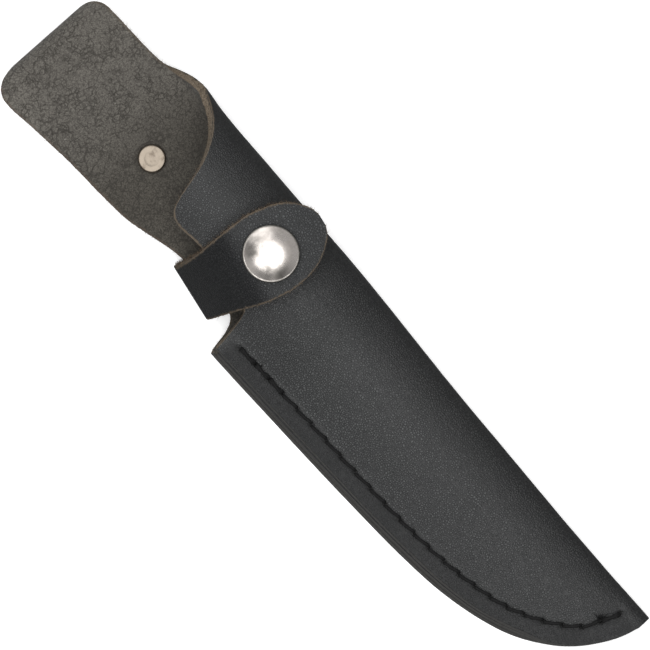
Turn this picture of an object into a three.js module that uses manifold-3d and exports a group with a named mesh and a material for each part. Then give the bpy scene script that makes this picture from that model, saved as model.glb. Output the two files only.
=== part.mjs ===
// A leather belt sheath for a fixed-blade knife: a folded and sewn pouch with a belt loop at the back
// and a keeper strap that closes over the front with a press stud.
//
// Millimetres, +Z up. The sheath lies on its back, +X runs towards the tip and +Y towards the folded spine.
// Everything is drawn with the press stud's axis at x = y = 0, and the whole group is then centred over
// its own footprint.
import * as THREE from "three";
import { mergeVertices } from "three/addons/utils/BufferGeometryUtils.js";
import Module from "manifold-3d";

const wasm = await Module();
wasm.setup();

// ---- Driving dimensions --------------------------------------------------------------------------------
const LEATHER = 2.2; // thickness of the sheath's and the strap's leather
const WELT = 1.8; // thickness of the filler strip in the seam
const GAP = 0.3; // clearance between pieces that touch
const SEWN = 2 * LEATHER + WELT + 2 * GAP; // back, welt and front, one on the other
const TIP_X = 136.4; // end of the tip
const TAB_X = -81.4; // far end of the tab, where it folds back
const BELT_GAP = 4.9; // height of the belt loop, inside
const LOOP_END_X = -29; // end of the belt loop's returned tail
const STRAP_LIFT = LEATHER + GAP; // the back panel lies on the loop's tail and on the strap
const LOOP_LIFT = LEATHER + BELT_GAP;
const FOLD_X = TAB_X + BELT_GAP / 2 + LEATHER; // where the tab starts to turn down
const FOLD_LENGTH = (Math.PI * (BELT_GAP + LEATHER)) / 2; // along the middle of the leather
const TAIL_T = FOLD_X - FOLD_LENGTH - (LOOP_END_X - FOLD_X); // the tail's end, along the flat leather

const BELT_RIVET = new THREE.Vector2(-39.3, -6.9);
const RIVET_HEAD = 3.75; // radii
const RIVET_SOCKET = 2; // tubular half
const RIVET_PIN = 1.35; // solid half
const RIVET_SUNK = 0.6; // how far the belt rivet's head sits below the tab's face
const HOLE_CLEAR = 0.4; // room round a tube in its hole, on the radius
const HEAD_CLEAR = 0.5; // room round a sunk head
const THROUGH = 30; // length of a cutter that goes through everything

const STRAP_FOLD = new THREE.Vector2(-6.55, -22.6); // middle of the strap's fold
const STRAP_TURN = THREE.MathUtils.degToRad(-9.4); // the fold line's angle from +X
const STRAP_RADIUS = (2 * LEATHER + GAP + LEATHER + GAP) / 2; // outside of the fold, round the back panel
const ANCHOR_LENGTH = 27;
const ANCHOR_RIVET = 19; // along the strap from the fold
const HALF_STRAP = 8;

const CAP_RADIUS = 7.5;
const THREAD = 0.9;

// ---- Lines over the length of the sheath ---------------------------------------------------------------
const { clamp, smoothstep, lerp } = THREE.MathUtils;

/** A smooth function through the given [x, value] points, level beyond them. */
function profile(points) {
  const [xs, values] = [0, 1].map((i) => points.map((p) => p[i]));
  const curve = new THREE.CubicInterpolant(xs, values, 1);
  return (x) => curve.evaluate(clamp(x, xs[0], xs.at(-1)))[0];
}

// The open (sewn) edge of the back panel, and of the tab and its tail beyond the mouth.
const openEdge = profile([
  [TAIL_T, -13], [TAIL_T + 1.2, -17], [TAIL_T + 4.5, -19.5], [-122, -21], [-92, -24.2], [-88, -24.3],
  [-86, -23.5], [-84.6, -22], [-83.6, -19.9], [-82.3, -17.6], [-81, -19.9], [-80, -22.2], [-79, -23.7],
  [-78, -24.8], [-77, -25.5], [-75.5, -25.8], [-66, -24.9], [-54, -23.7], [-40, -23],
  [-32, -22.3], [-16, -18.4], [-8, -17.8], [0, -17.7], [4, -18.3], [5.6, -19.3], [6.9, -21.3], [7.7, -24],
  [8.3, -27.2], [8.7, -28.6], [8.95, -28.95], [9.6, -29], [12, -29], [28, -28.7], [60, -27.8],
  [84, -26.5], [96, -25], [108, -22], [116, -18.8], [122, -15], [128, -9.7], [132.2, -3.9], [135.2, 2.6], [TIP_X, 7.2],
]);

// The tab's spine-side edge, and the mouth's cut edge up to the widest point of the spine.
const tabEdge = profile([
  [TAIL_T, 0], [TAIL_T + 1.2, 4], [TAIL_T + 4.5, 6.2], [-122, 7.5], [-92, 8.9], [-88, 9.2],
  [-86, 9], [-84.6, 8.1], [-83.6, 6.8], [-82.3, 5], [-81, 6.8], [-80, 8.2], [-79, 9.3], [-78, 10.1],
  [-77, 10.5], [-75.5, 10.7], [-66, 11], [-60, 11.3], [-56, 11.9], [-52, 13.8], [-48, 15.4], [-45, 15.95],
]);

// The front panel's cut edge: round the mouth, along under the strap, down beside it and on to the tip.
const frontEdge = profile([
  [-44, 15.9], [-42, 14.9], [-39, 13.5], [-36, 11.5], [-32, 7], [-28.7, 0], [-27.3, -5.5], [-26, -10],
  [-24.6, -12.1], [-22, -13.1], [-15, -12.6], [-6, -12.4], [2, -13.1], [6, -14.8], [7.1, -16.4],
  [7.9, -19.5], [8.6, -23.7], [9, -26.1], [9.25, -26.75], [10, -26.8], [14, -26.7], [30, -26.2],
  [60, -25.4], [80, -24.3],
  [95, -22.7], [105, -20.6], [112, -18], [118, -15.2], [123, -13], [128, -8.7], [132.2, -3.1],
  [135.2, 3.2], [TIP_X, 7.4],
]);

const MOUTH_X = -44; // the cut edge crosses the spine's widest point here
const spineLine = profile([
  [-60, 16.3], [MOUTH_X, 16], [-36, 15.2], [-16, 14.8], [20, 14.3], [60, 12.5], [84, 11.9], [116, 11.2],
  [TIP_X, 11.2],
]);

// The stitched line, which is also where the front comes down onto the welt.
const seamLine = profile([
  [9, -22.4], [34, -21.7], [57, -21.2], [74, -20.6], [89, -19.3], [100, -17.4], [109, -15], [116, -11.6],
  [122.5, -7.2], [126.5, -3.3], [128.6, 1], [130.5, 6.5],
]);

// Height of the front's crest above the back panel's outer face.
const crestHeight = profile([
  [-60, 17.2], [-30, 16.2], [0, 14.6], [40, 12.4], [80, 10.3], [110, 8.4], [128, SEWN + 0.3], [132, SEWN],
  [TIP_X, SEWN],
]);

// How far the leather's bend under the spine reaches in from the spine line.
const bendWidth = profile([[-62, 4.2], [-50, 5], [-44, 6.4], [-20, 7], [60, 5.4], [110, 4], [132, 3.5]]);

/** Height of the back panel's outer face: it lies on the strap, then on the loop, then rises to the fold. */
function lift(x) {
  const overStrap = STRAP_LIFT * (1 - smoothstep(x, 10, 34));
  return overStrap + (LOOP_LIFT - STRAP_LIFT) * (1 - smoothstep(x, -66, -47));
}

// ---- The leather's section across the sheath -----------------------------------------------------------
const COLUMNS = [2, 4, 5, 6, 2]; // steps along back, lower bend, upper bend, front and sewn edge
const ALL_COLUMNS = COLUMNS.reduce((a, b) => a + b);
const LOWER_COLUMNS = COLUMNS[0] + COLUMNS[1]; // from the open edge to the spine's widest point
const ROUND = 0.552; // handle length that makes a Bezier quarter round

/** The outer face's section at x, as five curves in the (y, z) plane, from the open edge round the spine. */
function sectionCurves(x) {
  const base = lift(x);
  const height = crestHeight(x);
  const spine = spineLine(x);
  const under = spine - bendWidth(x);
  const middle = base + lerp(SEWN / 2, 0.44 * height, smoothstep(height, SEWN, 11));
  const pinch = Math.min(seamLine(Math.max(x, 9)) + 1.5, spine - 4.6);
  const crest = spine - Math.max(3.4, 0.42 * (spine - pinch));
  const top = base + height;
  const reach = 0.45 * (crest - pinch);
  const P = (y, z) => new THREE.Vector2(y, z);
  const widest = P(spine, middle);
  const offSeam = P(lerp(pinch, crest, 0.2), lerp(base + SEWN, top, 0.24)); // straight off the seam
  const bend = (a, b, c, d) => new THREE.CubicBezierCurve(a, b, c, d);
  return [
    new THREE.LineCurve(P(Math.min(openEdge(x), under - 0.1), base), P(under, base)),
    bend(P(under, base), P(lerp(under, spine, ROUND), base), P(spine, lerp(middle, base, ROUND)), widest),
    bend(widest, P(spine, lerp(middle, top, ROUND)), P(lerp(crest, spine, ROUND), top), P(crest, top)),
    bend(P(crest, top), P(crest - reach, top), offSeam, P(pinch, base + SEWN)),
    new THREE.LineCurve(P(pinch, base + SEWN), P(openEdge(x) - 1, base + SEWN)),
  ];
}

/** The point and the inward normal of a section, q columns from the open edge. */
function along(curves, q) {
  let piece = 0;
  while (piece < curves.length - 1 && q > COLUMNS[piece]) q -= COLUMNS[piece++];
  const t = clamp(q / COLUMNS[piece], 0, 1);
  const tangent = curves[piece].getTangent(t);
  return { point: curves[piece].getPoint(t), inward: new THREE.Vector2(-tangent.y, tangent.x) };
}

/** The column at which a section reaches y, between the columns low and high, where y rises or falls. */
function columnAt(curves, y, low, high) {
  const rising = along(curves, high).point.x > along(curves, low).point.x;
  for (let i = 0; i < 30; i++) {
    const middle = (low + high) / 2;
    if (along(curves, middle).point.x < y === rising) low = middle;
    else high = middle;
  }
  return (low + high) / 2;
}

/** Height of the front's outer face over (x, y). */
function frontHeight(x, y) {
  const curves = sectionCurves(x);
  return along(curves, columnAt(curves, y, LOWER_COLUMNS, ALL_COLUMNS)).point.y;
}

// ---- Solids --------------------------------------------------------------------------------------------
/** A closed three.js geometry as a manifold-3d solid. */
function toSolid(geometry) {
  const bare = geometry.clone();
  bare.deleteAttribute("normal");
  bare.deleteAttribute("uv");
  const merged = mergeVertices(bare, 1e-4);
  const triVerts = Uint32Array.from(merged.index.array);
  const vertProperties = Float32Array.from(merged.attributes.position.array);
  return new wasm.Manifold(new wasm.Mesh({ numProp: 3, vertProperties, triVerts }));
}

/** A manifold-3d solid as a three.js geometry. */
function toGeometry(solid) {
  const mesh = solid.getMesh();
  const geometry = new THREE.BufferGeometry();
  geometry.setAttribute("position", new THREE.BufferAttribute(mesh.vertProperties, 3));
  geometry.setIndex(new THREE.BufferAttribute(mesh.triVerts, 1));
  return geometry;
}

const cut = (solid, tools) => tools.reduce((rest, tool) => rest.subtract(tool), solid);

/**
 * A sheet of leather: a slab of lengthCells by widthCells whose corners are moved to place(i, j, k). i and j
 * count the cells along its length and width, and k is 0 on one face and 1 on the other.
 */
function sheet(lengthCells, widthCells, place) {
  const geometry = new THREE.BoxGeometry(1, 1, 1, lengthCells, widthCells, 1);
  const at = geometry.attributes.position;
  for (let n = 0; n < at.count; n++) {
    const i = Math.round((at.getX(n) + 0.5) * lengthCells);
    const j = Math.round((at.getY(n) + 0.5) * widthCells);
    const corner = place(i, j, Math.round(at.getZ(n) + 0.5));
    at.setXYZ(n, corner.x, corner.y, corner.z);
  }
  return geometry;
}

/** A turned piece from its half section: [radius, z] points, anticlockwise from the axis or in a closed loop. */
function turned(points, x, y, segments = 28) {
  const outline = points.map(([r, z]) => new THREE.Vector2(r, z));
  return new THREE.LatheGeometry(outline, segments).rotateX(Math.PI / 2).translate(x, y, 0);
}

/** A round cutter from z = bottom to z = top. */
function drill(x, y, radius, bottom, top) {
  const cutter = new THREE.CylinderGeometry(radius, radius, top - bottom, 24).rotateX(Math.PI / 2);
  return toSolid(cutter.translate(x, y, (bottom + top) / 2));
}

/** Evenly spaced numbers from first to last, in steps of about the given length, without the last one. */
function steps(first, last, length) {
  const count = Math.round((last - first) / length);
  return Array.from({ length: count }, (_, i) => lerp(first, last, i / count));
}

// ---- The seam ------------------------------------------------------------------------------------------
// Where the stitch holes stand along the sheath: sewn by hand, so the stitches are not quite even.
const HOLES = [
  13, 18.7, 24, 29.2, 34.7, 40.2, 45.8, 51.4, 57, 62.8, 68.4, 74, 79.2, 84.5, 89.7, 94.8, 99.8, 104.7, 109.5,
  114, 118.5, 122.7, 126.3, 128.6, 130.4,
].map((x) => new THREE.Vector2(x, seamLine(x)));

const LOOP_REACH = 0.65; // half the distance between a loop's two legs in one hole
const SLOT_LENGTH = 2 * (LOOP_REACH + THREAD / 2 + GAP);
const SLOT_WIDTH = THREAD + 2 * GAP;

const seamHeight = (x) => lift(x) + LEATHER + GAP + WELT / 2; // middle of the welt

/** Direction of the seam at a hole. */
function seamDirection(i) {
  const before = HOLES[Math.max(i - 1, 0)];
  const after = HOLES[Math.min(i + 1, HOLES.length - 1)];
  return after.clone().sub(before).normalize();
}

/** Cutters for every stitch hole, right through the seam. */
function stitchSlots() {
  return HOLES.map((hole, i) => {
    const slot = new THREE.BoxGeometry(SLOT_LENGTH, SLOT_WIDTH, THROUGH);
    return toSolid(slot.rotateZ(seamDirection(i).angle()).translate(hole.x, hole.y, 0));
  });
}

/** Cutters for the groove in the back panel that the bobbin thread lies in. */
function threadGroove() {
  const depth = THREAD + GAP + 0.1;
  return HOLES.slice(1).map((hole, i) => {
    const run = hole.clone().sub(HOLES[i]);
    const middle = hole.clone().add(HOLES[i]).multiplyScalar(0.5);
    const groove = new THREE.BoxGeometry(run.length() + SLOT_WIDTH, SLOT_WIDTH, 2 * depth);
    return toSolid(groove.rotateZ(run.angle()).translate(middle.x, middle.y, lift(middle.x)));
  });
}

/** A round tube through the points; across[i] is a level unit vector that ring i keeps square to. */
function tube(points, across, radius, sides) {
  const rings = points.length - 1;
  const geometry = new THREE.CylinderGeometry(radius, radius, 1, sides, rings);
  const corners = geometry.attributes.position;
  const heading = (i) => points[i + 1].clone().sub(points[i]).normalize();
  for (let n = 0; n < corners.count; n++) {
    const i = Math.round((corners.getY(n) + 0.5) * rings);
    const out = heading(Math.min(i, rings - 1));
    const run = heading(Math.max(i - 1, 0)).add(out).normalize();
    const mitred = across[i].clone().cross(run).divideScalar(run.dot(out));
    const corner = points[i].clone().addScaledVector(across[i], corners.getX(n));
    corner.addScaledVector(mitred, corners.getZ(n));
    corners.setXYZ(n, corner.x, corner.y, corner.z);
  }
  return geometry;
}

/** One thread of the lockstitch: it runs at height runZ(x) and loops to loopZ(x) in each hole. */
function thread(runZ, loopZ) {
  const points = [];
  const across = [];
  const lastHole = HOLES.length - 1;
  HOLES.forEach((hole, i) => {
    const along = seamDirection(i);
    const add = (side, z) => {
      const at = hole.clone().addScaledVector(along, side * LOOP_REACH);
      points.push(new THREE.Vector3(at.x, at.y, z));
      across.push(new THREE.Vector3(-along.y, along.x, 0));
    };
    if (i > 0) add(-1, runZ(hole.x));
    if (i > 0) add(-1, loopZ(hole.x));
    if (i < lastHole) add(1, loopZ(hole.x));
    if (i < lastHole) add(1, runZ(hole.x));
  });
  return tube(points, across, THREAD / 2, 6);
}

// ---- The sheath's leather, welt and thread -------------------------------------------------------------
/** Where the leather's stations stand, along the flat leather from the loop's tail to the tip. */
const STATIONS = [
  ...[0, 1.2, 2.8, 4.5].map((t) => TAIL_T + t),
  ...steps(TAIL_T + 12, FOLD_X - FOLD_LENGTH, 11),
  ...steps(FOLD_X - FOLD_LENGTH, FOLD_X, 1.6),
  ...steps(FOLD_X, -66, 5),
  ...steps(-66, MOUTH_X, 2.7),
  ...[MOUTH_X, -42.6],
  ...steps(-41, -29, 2),
  ...steps(-29, -21, 1.3),
  ...steps(-21, 4, 5),
  ...[4, 5, 5.8, 6.5, 7.1, 7.6, 8, 8.4, 8.8, 9.2, 10.5, 13],
  ...steps(20, 100, 10),
  ...steps(100, 128, 4.7),
  ...[128, 130.2, 132.2, 133.8, 135.2, 136, TIP_X],
];

/** The leather between two cut edges: the tab and its tail are flat across, the rest is folded. */
function leatherCorner(i, j, k) {
  const t = STATIONS[i];
  const share = j / ALL_COLUMNS;
  const depth = k * LEATHER;
  if (t >= FOLD_X) {
    const curves = sectionCurves(t);
    const edge =
      t < MOUTH_X
        ? columnAt(curves, tabEdge(t), 0, LOWER_COLUMNS)
        : columnAt(curves, frontEdge(t), LOWER_COLUMNS, ALL_COLUMNS);
    const { point, inward } = along(curves, share * edge);
    return new THREE.Vector3(t, point.x + depth * inward.x, point.y + depth * inward.y);
  }
  const y = lerp(openEdge(t), tabEdge(t), share);
  const radius = BELT_GAP / 2 + depth;
  const centre = LOOP_LIFT - BELT_GAP / 2;
  const past = Math.max(FOLD_X - FOLD_LENGTH - t, 0);
  const angle = (Math.PI * Math.min(FOLD_X - t, FOLD_LENGTH)) / FOLD_LENGTH;
  return new THREE.Vector3(FOLD_X - radius * Math.sin(angle) + past, y, centre + radius * Math.cos(angle));
}

function sheathLeather() {
  const blank = toSolid(sheet(STATIONS.length - 1, ALL_COLUMNS, leatherCorner));
  const { x, y } = BELT_RIVET;
  const rivet = [
    drill(x, y, RIVET_SOCKET + HOLE_CLEAR, -1, 10),
    drill(x, y, RIVET_HEAD + HEAD_CLEAR, STRAP_LIFT + LEATHER - RIVET_SUNK, 10),
    drill(x, y, RIVET_HEAD + HEAD_CLEAR, -1, 1),
  ];
  const strapHole = drill(STRAP_RIVET.x, STRAP_RIVET.y, RIVET_SOCKET + HOLE_CLEAR, -1, 6);
  const snapHole = drill(0, 0, EYELET_TUBE + HOLE_CLEAR, 10, THROUGH);
  return toGeometry(cut(blank, [...stitchSlots(), ...threadGroove(), ...rivet, strapHole, snapHole]));
}

/** The welt: as wide as the seam margin, a little inside the back's edge, and run out at the tip. */
function weltStrip() {
  const stations = [...steps(10.5, 100, 7), ...steps(100, 128, 3.5), 128, 130, 132, 134, 135.6];
  const outer = (x) => lerp(openEdge(x), frontEdge(x), 0.5);
  const inner = (x) => Math.min(seamLine(x) + 1.9, spineLine(x) - LEATHER - 1);
  const strip = sheet(stations.length - 1, 1, (i, j, k) => {
    const x = stations[i];
    const y = j ? Math.max(inner(x), outer(x) + 0.4) : outer(x);
    return new THREE.Vector3(x, y, lift(x) + LEATHER + GAP + k * WELT);
  });
  return toGeometry(cut(toSolid(strip), stitchSlots()));
}

const needleThread = () => thread((x) => lift(x) + SEWN + GAP + THREAD / 2, (x) => seamHeight(x) + 0.6);
const bobbinThread = () => thread((x) => lift(x) + THREAD / 2 + 0.06, (x) => seamHeight(x) - 0.6);

// ---- The keeper strap ----------------------------------------------------------------------------------
// Drawn in its own frame: along is the distance from the fold line and across runs along that line.
const acrossStrap = new THREE.Vector2(Math.cos(STRAP_TURN), Math.sin(STRAP_TURN));
const alongStrap = new THREE.Vector2(-acrossStrap.y, acrossStrap.x);
const onStrap = (across, along) =>
  STRAP_FOLD.clone().addScaledVector(acrossStrap, across).addScaledVector(alongStrap, along);
const STRAP_RIVET = onStrap(0, ANCHOR_RIVET);

// The flap's two cut edges, across as a function of the distance from the fold. It is an egg round the snap.
const flapLeft = profile([
  [0, -8], [1.4, -7.5], [5, -7.2], [9.5, -7.4], [17.5, -8.5], [22, -9], [25, -8.9], [28.6, -8.2],
  [32, -7.2], [34.8, -5.2], [36.9, -3], [38.2, -0.8], [38.8, 1.6],
]);
const flapRight = profile([
  [0, 7.8], [4, 9.1], [10, 10.8], [16.4, 12.85], [20, 13.4], [24, 13.6], [29, 12.7], [32, 11.5],
  [34, 10.1], [36.1, 8.2], [37.9, 5.9], [38.8, 3.6],
]);
const FLAP_LENGTH = 38.8;

const FLAP_RISE = THREE.MathUtils.degToRad(120); // how far round the fold the flap leaves it

// The flap's underside: straight off the fold, up over the front panel's cut edge, level under the snap.
const FRONT_AT_SNAP = frontHeight(0, 0);
const SNAP_STAND = 3.9; // height of the closed snap between the two leathers
const UNDER_CAP = FRONT_AT_SNAP + SNAP_STAND;
const FLAP_START = new THREE.Vector2(Math.sin(FLAP_RISE), Math.cos(FLAP_RISE))
  .multiplyScalar(LEATHER - STRAP_RADIUS)
  .addScalar(STRAP_RADIUS);
const flapUnder = profile([
  FLAP_START.toArray(), [4, 7.1], [6, 10.3], [8, 13.1], [10, 15.5], [12, 17.5], [14, 19.1],
  [16, UNDER_CAP - 0.75], [18, UNDER_CAP - 0.1], [20.5, UNDER_CAP], [24, UNDER_CAP], [28, UNDER_CAP - 0.05],
  [33, UNDER_CAP - 0.8], [FLAP_LENGTH, UNDER_CAP - 2.7],
]);

/** A corner of the strap from its side view: a point on the inner face and the way out of the leather. */
function strapCorner(along, z, outward, across, depth) {
  const at = onStrap(across, along + outward.x * depth);
  return new THREE.Vector3(at.x, at.y, z + outward.y * depth);
}

/** The strap's fold, a half circle: angle 0 is its lower end, 90 degrees its outermost line, 180 its top. */
function foldStation(angle) {
  const outward = new THREE.Vector2(-Math.sin(angle), -Math.cos(angle));
  const inner = STRAP_RADIUS - LEATHER;
  return {
    along: STRAP_RADIUS + inner * outward.x,
    z: STRAP_RADIUS + inner * outward.y,
    outward,
    left: -HALF_STRAP,
    right: HALF_STRAP,
  };
}

/** A sheet of strap leather through side-view stations, each with its left and right edge. */
function strapSheet(stations, columns) {
  return sheet(columns, stations.length - 1, (j, i, k) => {
    const { along, z, outward, left, right } = stations[i];
    return strapCorner(along, z, outward, lerp(left, right, j / columns), k * LEATHER);
  });
}

const SPLIT = Math.asin(GAP / 2 / STRAP_RADIUS); // half the angle of the gap at the fold

/** The part behind the sheath: a round-ended strip, riveted through the back panel. */
function strapAnchor() {
  const down = new THREE.Vector2(0, -1);
  const flat = (along, half) => ({ along, z: LEATHER, outward: down, left: -half, right: half });
  const end = steps(0.26, Math.PI / 2, 0.22).map((a) => {
    return flat(ANCHOR_LENGTH - HALF_STRAP + HALF_STRAP * Math.cos(a), HALF_STRAP * Math.sin(a));
  });
  const bend = [0, 0.25, 0.5, 0.75, 1].map((share) => foldStation(share * (Math.PI / 2 - SPLIT)));
  const body = toSolid(strapSheet([...end, flat(ANCHOR_LENGTH - HALF_STRAP, HALF_STRAP), ...bend], 1));
  const { x, y } = STRAP_RIVET;
  const holes = [drill(x, y, RIVET_SOCKET + HOLE_CLEAR, -1, 3), drill(x, y, RIVET_HEAD + HEAD_CLEAR, -1, 1)];
  return toGeometry(cut(body, holes));
}

/** The part that comes over the front and carries the snap. */
function strapFlap() {
  const bend = [0, 0.3, 0.6].map((share) => foldStation(lerp(Math.PI / 2 + SPLIT, FLAP_RISE, share)));
  const ends = [FLAP_LENGTH - 2.2, FLAP_LENGTH - 1.2, FLAP_LENGTH - 0.5, FLAP_LENGTH];
  const over = [...steps(FLAP_START.x, 14, 1.4), ...steps(14, 36, 2), 36, ...ends].map((along) => {
    const slope = (flapUnder(along + 0.05) - flapUnder(along - 0.05)) / 0.1;
    const outward = new THREE.Vector2(-slope, 1).normalize();
    return { along, z: flapUnder(along), outward, left: flapLeft(along), right: flapRight(along) };
  });
  const body = toSolid(strapSheet([...bend, ...over], 2));
  return toGeometry(cut(body, [drill(0, 0, CAP_POST + HOLE_CLEAR, 10, THROUGH)]));
}

// ---- The press stud ------------------------------------------------------------------------------------
// Heights are measured from the front panel's outer face at the snap. From the inside out: eyelet, leather,
// stud, socket with its spring, strap, cap.
const EYELET_TUBE = 1.9;
const CAP_POST = 1.9;
const STRAP_FACE = SNAP_STAND + LEATHER; // outer face of the strap

const snapPart = (points, segments) => turned(points, 0, 0, segments).translate(0, 0, FRONT_AT_SNAP);

/** Domed cap with a rolled rim and a hollow post. */
function snapCap() {
  const rim = STRAP_FACE + GAP;
  return snapPart([
    [0, STRAP_FACE], [1.1, STRAP_FACE], [1.1, 2.9], [CAP_POST, 2.9], [CAP_POST, rim], [6.4, rim], [7.1, rim],
    [CAP_RADIUS, rim + 0.45], [7.3, rim + 0.9], [6.6, rim + 1.25], [5.2, rim + 2.05], [3.4, rim + 2.7],
    [1.6, rim + 3.02], [0, rim + 3.1],
  ], 40);
}

/** Socket: a ring under the strap, cupped below so that it closes over the stud. */
function snapSocket() {
  const top = SNAP_STAND - GAP;
  return snapPart([
    [2.3, 2.7], [4.1, 2.7], [5, 2.2], [5, 0.9], [5.5, 0.75], [6.2, 1.1], [6.2, top - 0.5], [5.8, top],
    [2.3, top], [2.3, 2.7],
  ]);
}

/** Spring: a split wire ring inside the socket. */
function snapSpring() {
  const up = new THREE.Vector3(0, 0, 1);
  const arc = Array.from({ length: 25 }, (_, i) => {
    const angle = THREE.MathUtils.degToRad(13 * i);
    return new THREE.Vector3(4.45 * Math.cos(angle), 4.45 * Math.sin(angle), FRONT_AT_SNAP + 1.6);
  });
  return tube(arc, arc.map(() => up), 0.25, 6);
}

/** Stud: a flange on the leather and a hollow button. */
function snapStud() {
  return snapPart([
    [2.3, GAP], [5, GAP], [5.2, GAP + 0.3], [4.6, GAP + 0.6], [3.4, GAP + 0.7], [3.3, 1.3], [3.8, 1.8],
    [3.7, 2.2], [3.1, 2.4], [2.3, 2.3], [2.3, GAP],
  ]);
}

/** Eyelet: a flange inside the sheath, low enough to clear the curved panel, and a tube up into the stud. */
function snapEyelet() {
  const face = -LEATHER - GAP - 0.9;
  return snapPart([
    [1.4, face - 0.5], [4.6, face - 0.5], [5, face - 0.25], [4.8, face], [EYELET_TUBE, face],
    [EYELET_TUBE, 2.1], [1.4, 2.1], [1.4, face - 0.5],
  ]);
}

// ---- The rivets ----------------------------------------------------------------------------------------
/** Upper half: a ringed head on the leather at z, and a pin down into the other half. */
function rivetCap(x, y, z) {
  return turned([
    [0, 0.9], [RIVET_PIN, 0.9], [RIVET_PIN, z], [3.3, z], [RIVET_HEAD, z + 0.35], [3.4, z + 0.75],
    [2.4, z + 0.95], [1.9, z + 0.78], [0, z + 0.78],
  ], x, y, 24);
}

/** Lower half: a flat head sunk in the leather and a tube up round the pin. */
function rivetPost(x, y, z) {
  return turned([
    [0, 0.06], [3.4, 0.06], [RIVET_HEAD, 0.3], [3.5, 0.7], [RIVET_SOCKET, 0.7], [RIVET_SOCKET, z - GAP],
    [RIVET_PIN + 0.3, z - GAP], [RIVET_PIN + 0.3, 0.55], [0, 0.55],
  ], x, y, 24);
}

// ---- The assembly --------------------------------------------------------------------------------------
const finish = (color, roughness, metalness) => new THREE.MeshStandardMaterial({ color, roughness, metalness });
const blackLeather = finish(0x2f3133, 0.5, 0);
const threadBlack = finish(0x161616, 0.8, 0);
const nickel = finish(0xbdb6aa, 0.25, 1);

const sheath = new THREE.Group();
const strap = new THREE.Group();

function add(group, name, geometry, material) {
  const mesh = new THREE.Mesh(geometry, material);
  mesh.name = name;
  group.add(mesh);
}

add(sheath, "sheath_leather", sheathLeather(), blackLeather);
add(sheath, "welt", weltStrip(), blackLeather);
add(sheath, "needle_thread", needleThread(), threadBlack);
add(sheath, "bobbin_thread", bobbinThread(), threadBlack);
add(sheath, "strap_anchor", strapAnchor(), blackLeather);
add(sheath, "snap_stud", snapStud(), nickel);
add(sheath, "snap_eyelet", snapEyelet(), nickel);
const tabFace = STRAP_LIFT + LEATHER - RIVET_SUNK + GAP;
add(sheath, "belt_rivet_cap", rivetCap(BELT_RIVET.x, BELT_RIVET.y, tabFace), nickel);
add(sheath, "belt_rivet_post", rivetPost(BELT_RIVET.x, BELT_RIVET.y, tabFace), nickel);
const backFace = STRAP_LIFT + LEATHER + GAP;
add(sheath, "strap_rivet_cap", rivetCap(STRAP_RIVET.x, STRAP_RIVET.y, backFace), nickel);
add(sheath, "strap_rivet_post", rivetPost(STRAP_RIVET.x, STRAP_RIVET.y, backFace), nickel);

add(strap, "strap_flap", strapFlap(), blackLeather);
add(strap, "snap_cap", snapCap(), nickel);
add(strap, "snap_socket", snapSocket(), nickel);
add(strap, "snap_spring", snapSpring(), nickel);
sheath.add(strap);

// Centre the footprint on the origin; the lowest leather already lies on z = 0.
const footprint = new THREE.Box3().setFromObject(sheath, true).getCenter(new THREE.Vector3());
sheath.position.set(-footprint.x, -footprint.y, 0);

export default sheath;
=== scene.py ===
"""Dresses a black leather belt sheath: its folded pouch, sewn seam, keeper strap and metal fittings.

Every size is in millimetres from the press stud's axis, +X towards the tip and +Y towards the folded spine,
until a finished mesh is put into the part's own frame in metres.
"""

import logging
import math
import random
from collections.abc import Callable, Sequence
from dataclasses import dataclass, field
from enum import Enum

import bmesh
import bpy
import numpy as np
from mathutils import Matrix, Vector, noise


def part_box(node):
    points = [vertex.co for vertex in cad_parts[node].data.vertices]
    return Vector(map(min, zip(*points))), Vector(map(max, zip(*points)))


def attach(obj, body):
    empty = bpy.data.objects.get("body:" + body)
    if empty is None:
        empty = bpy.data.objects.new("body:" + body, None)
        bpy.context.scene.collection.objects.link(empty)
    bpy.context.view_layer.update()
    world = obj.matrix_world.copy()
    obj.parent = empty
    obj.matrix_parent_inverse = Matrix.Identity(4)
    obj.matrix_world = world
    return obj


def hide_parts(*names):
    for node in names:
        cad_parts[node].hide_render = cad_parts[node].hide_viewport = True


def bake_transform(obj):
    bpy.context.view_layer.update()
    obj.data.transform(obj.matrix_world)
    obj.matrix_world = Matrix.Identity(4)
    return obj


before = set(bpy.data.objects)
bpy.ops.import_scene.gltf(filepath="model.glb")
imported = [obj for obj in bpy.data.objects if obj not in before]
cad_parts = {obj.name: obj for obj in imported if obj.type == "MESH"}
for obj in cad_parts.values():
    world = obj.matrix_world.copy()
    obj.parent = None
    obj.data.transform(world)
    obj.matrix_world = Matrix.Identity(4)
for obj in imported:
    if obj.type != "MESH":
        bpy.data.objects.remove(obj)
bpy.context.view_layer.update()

MM = 0.001
SNAP_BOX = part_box("snap_cap")
ORIGIN = np.array([(SNAP_BOX[0].x + SNAP_BOX[1].x) / 2, (SNAP_BOX[0].y + SNAP_BOX[1].y) / 2, 0.0])

log = logging.getLogger("sheath")

Colour = tuple[float, float, float, float]
Given = dict[str | int, object]
# An edge's places on the grain and on the flesh face, and its directions out of the leather.
Edge = tuple[np.ndarray, np.ndarray, np.ndarray]
RowParts = tuple[np.ndarray, np.ndarray, np.ndarray, np.ndarray]
Outline = list[tuple[float, float]]


class Body(Enum):
    """The two bodies that pieces ride on."""

    SHEATH = "sheath"
    STRAP = "strap"


class Slot(Enum):
    """The record's material slots."""

    SHEATH = "sheath_leather"
    STRAP = "strap_leather"
    WELT = "welt"
    THREAD = "thread"
    SNAP = "snap_nickel"
    RIVET = "rivet_nickel"
    SPRING = "spring_wire"


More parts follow.
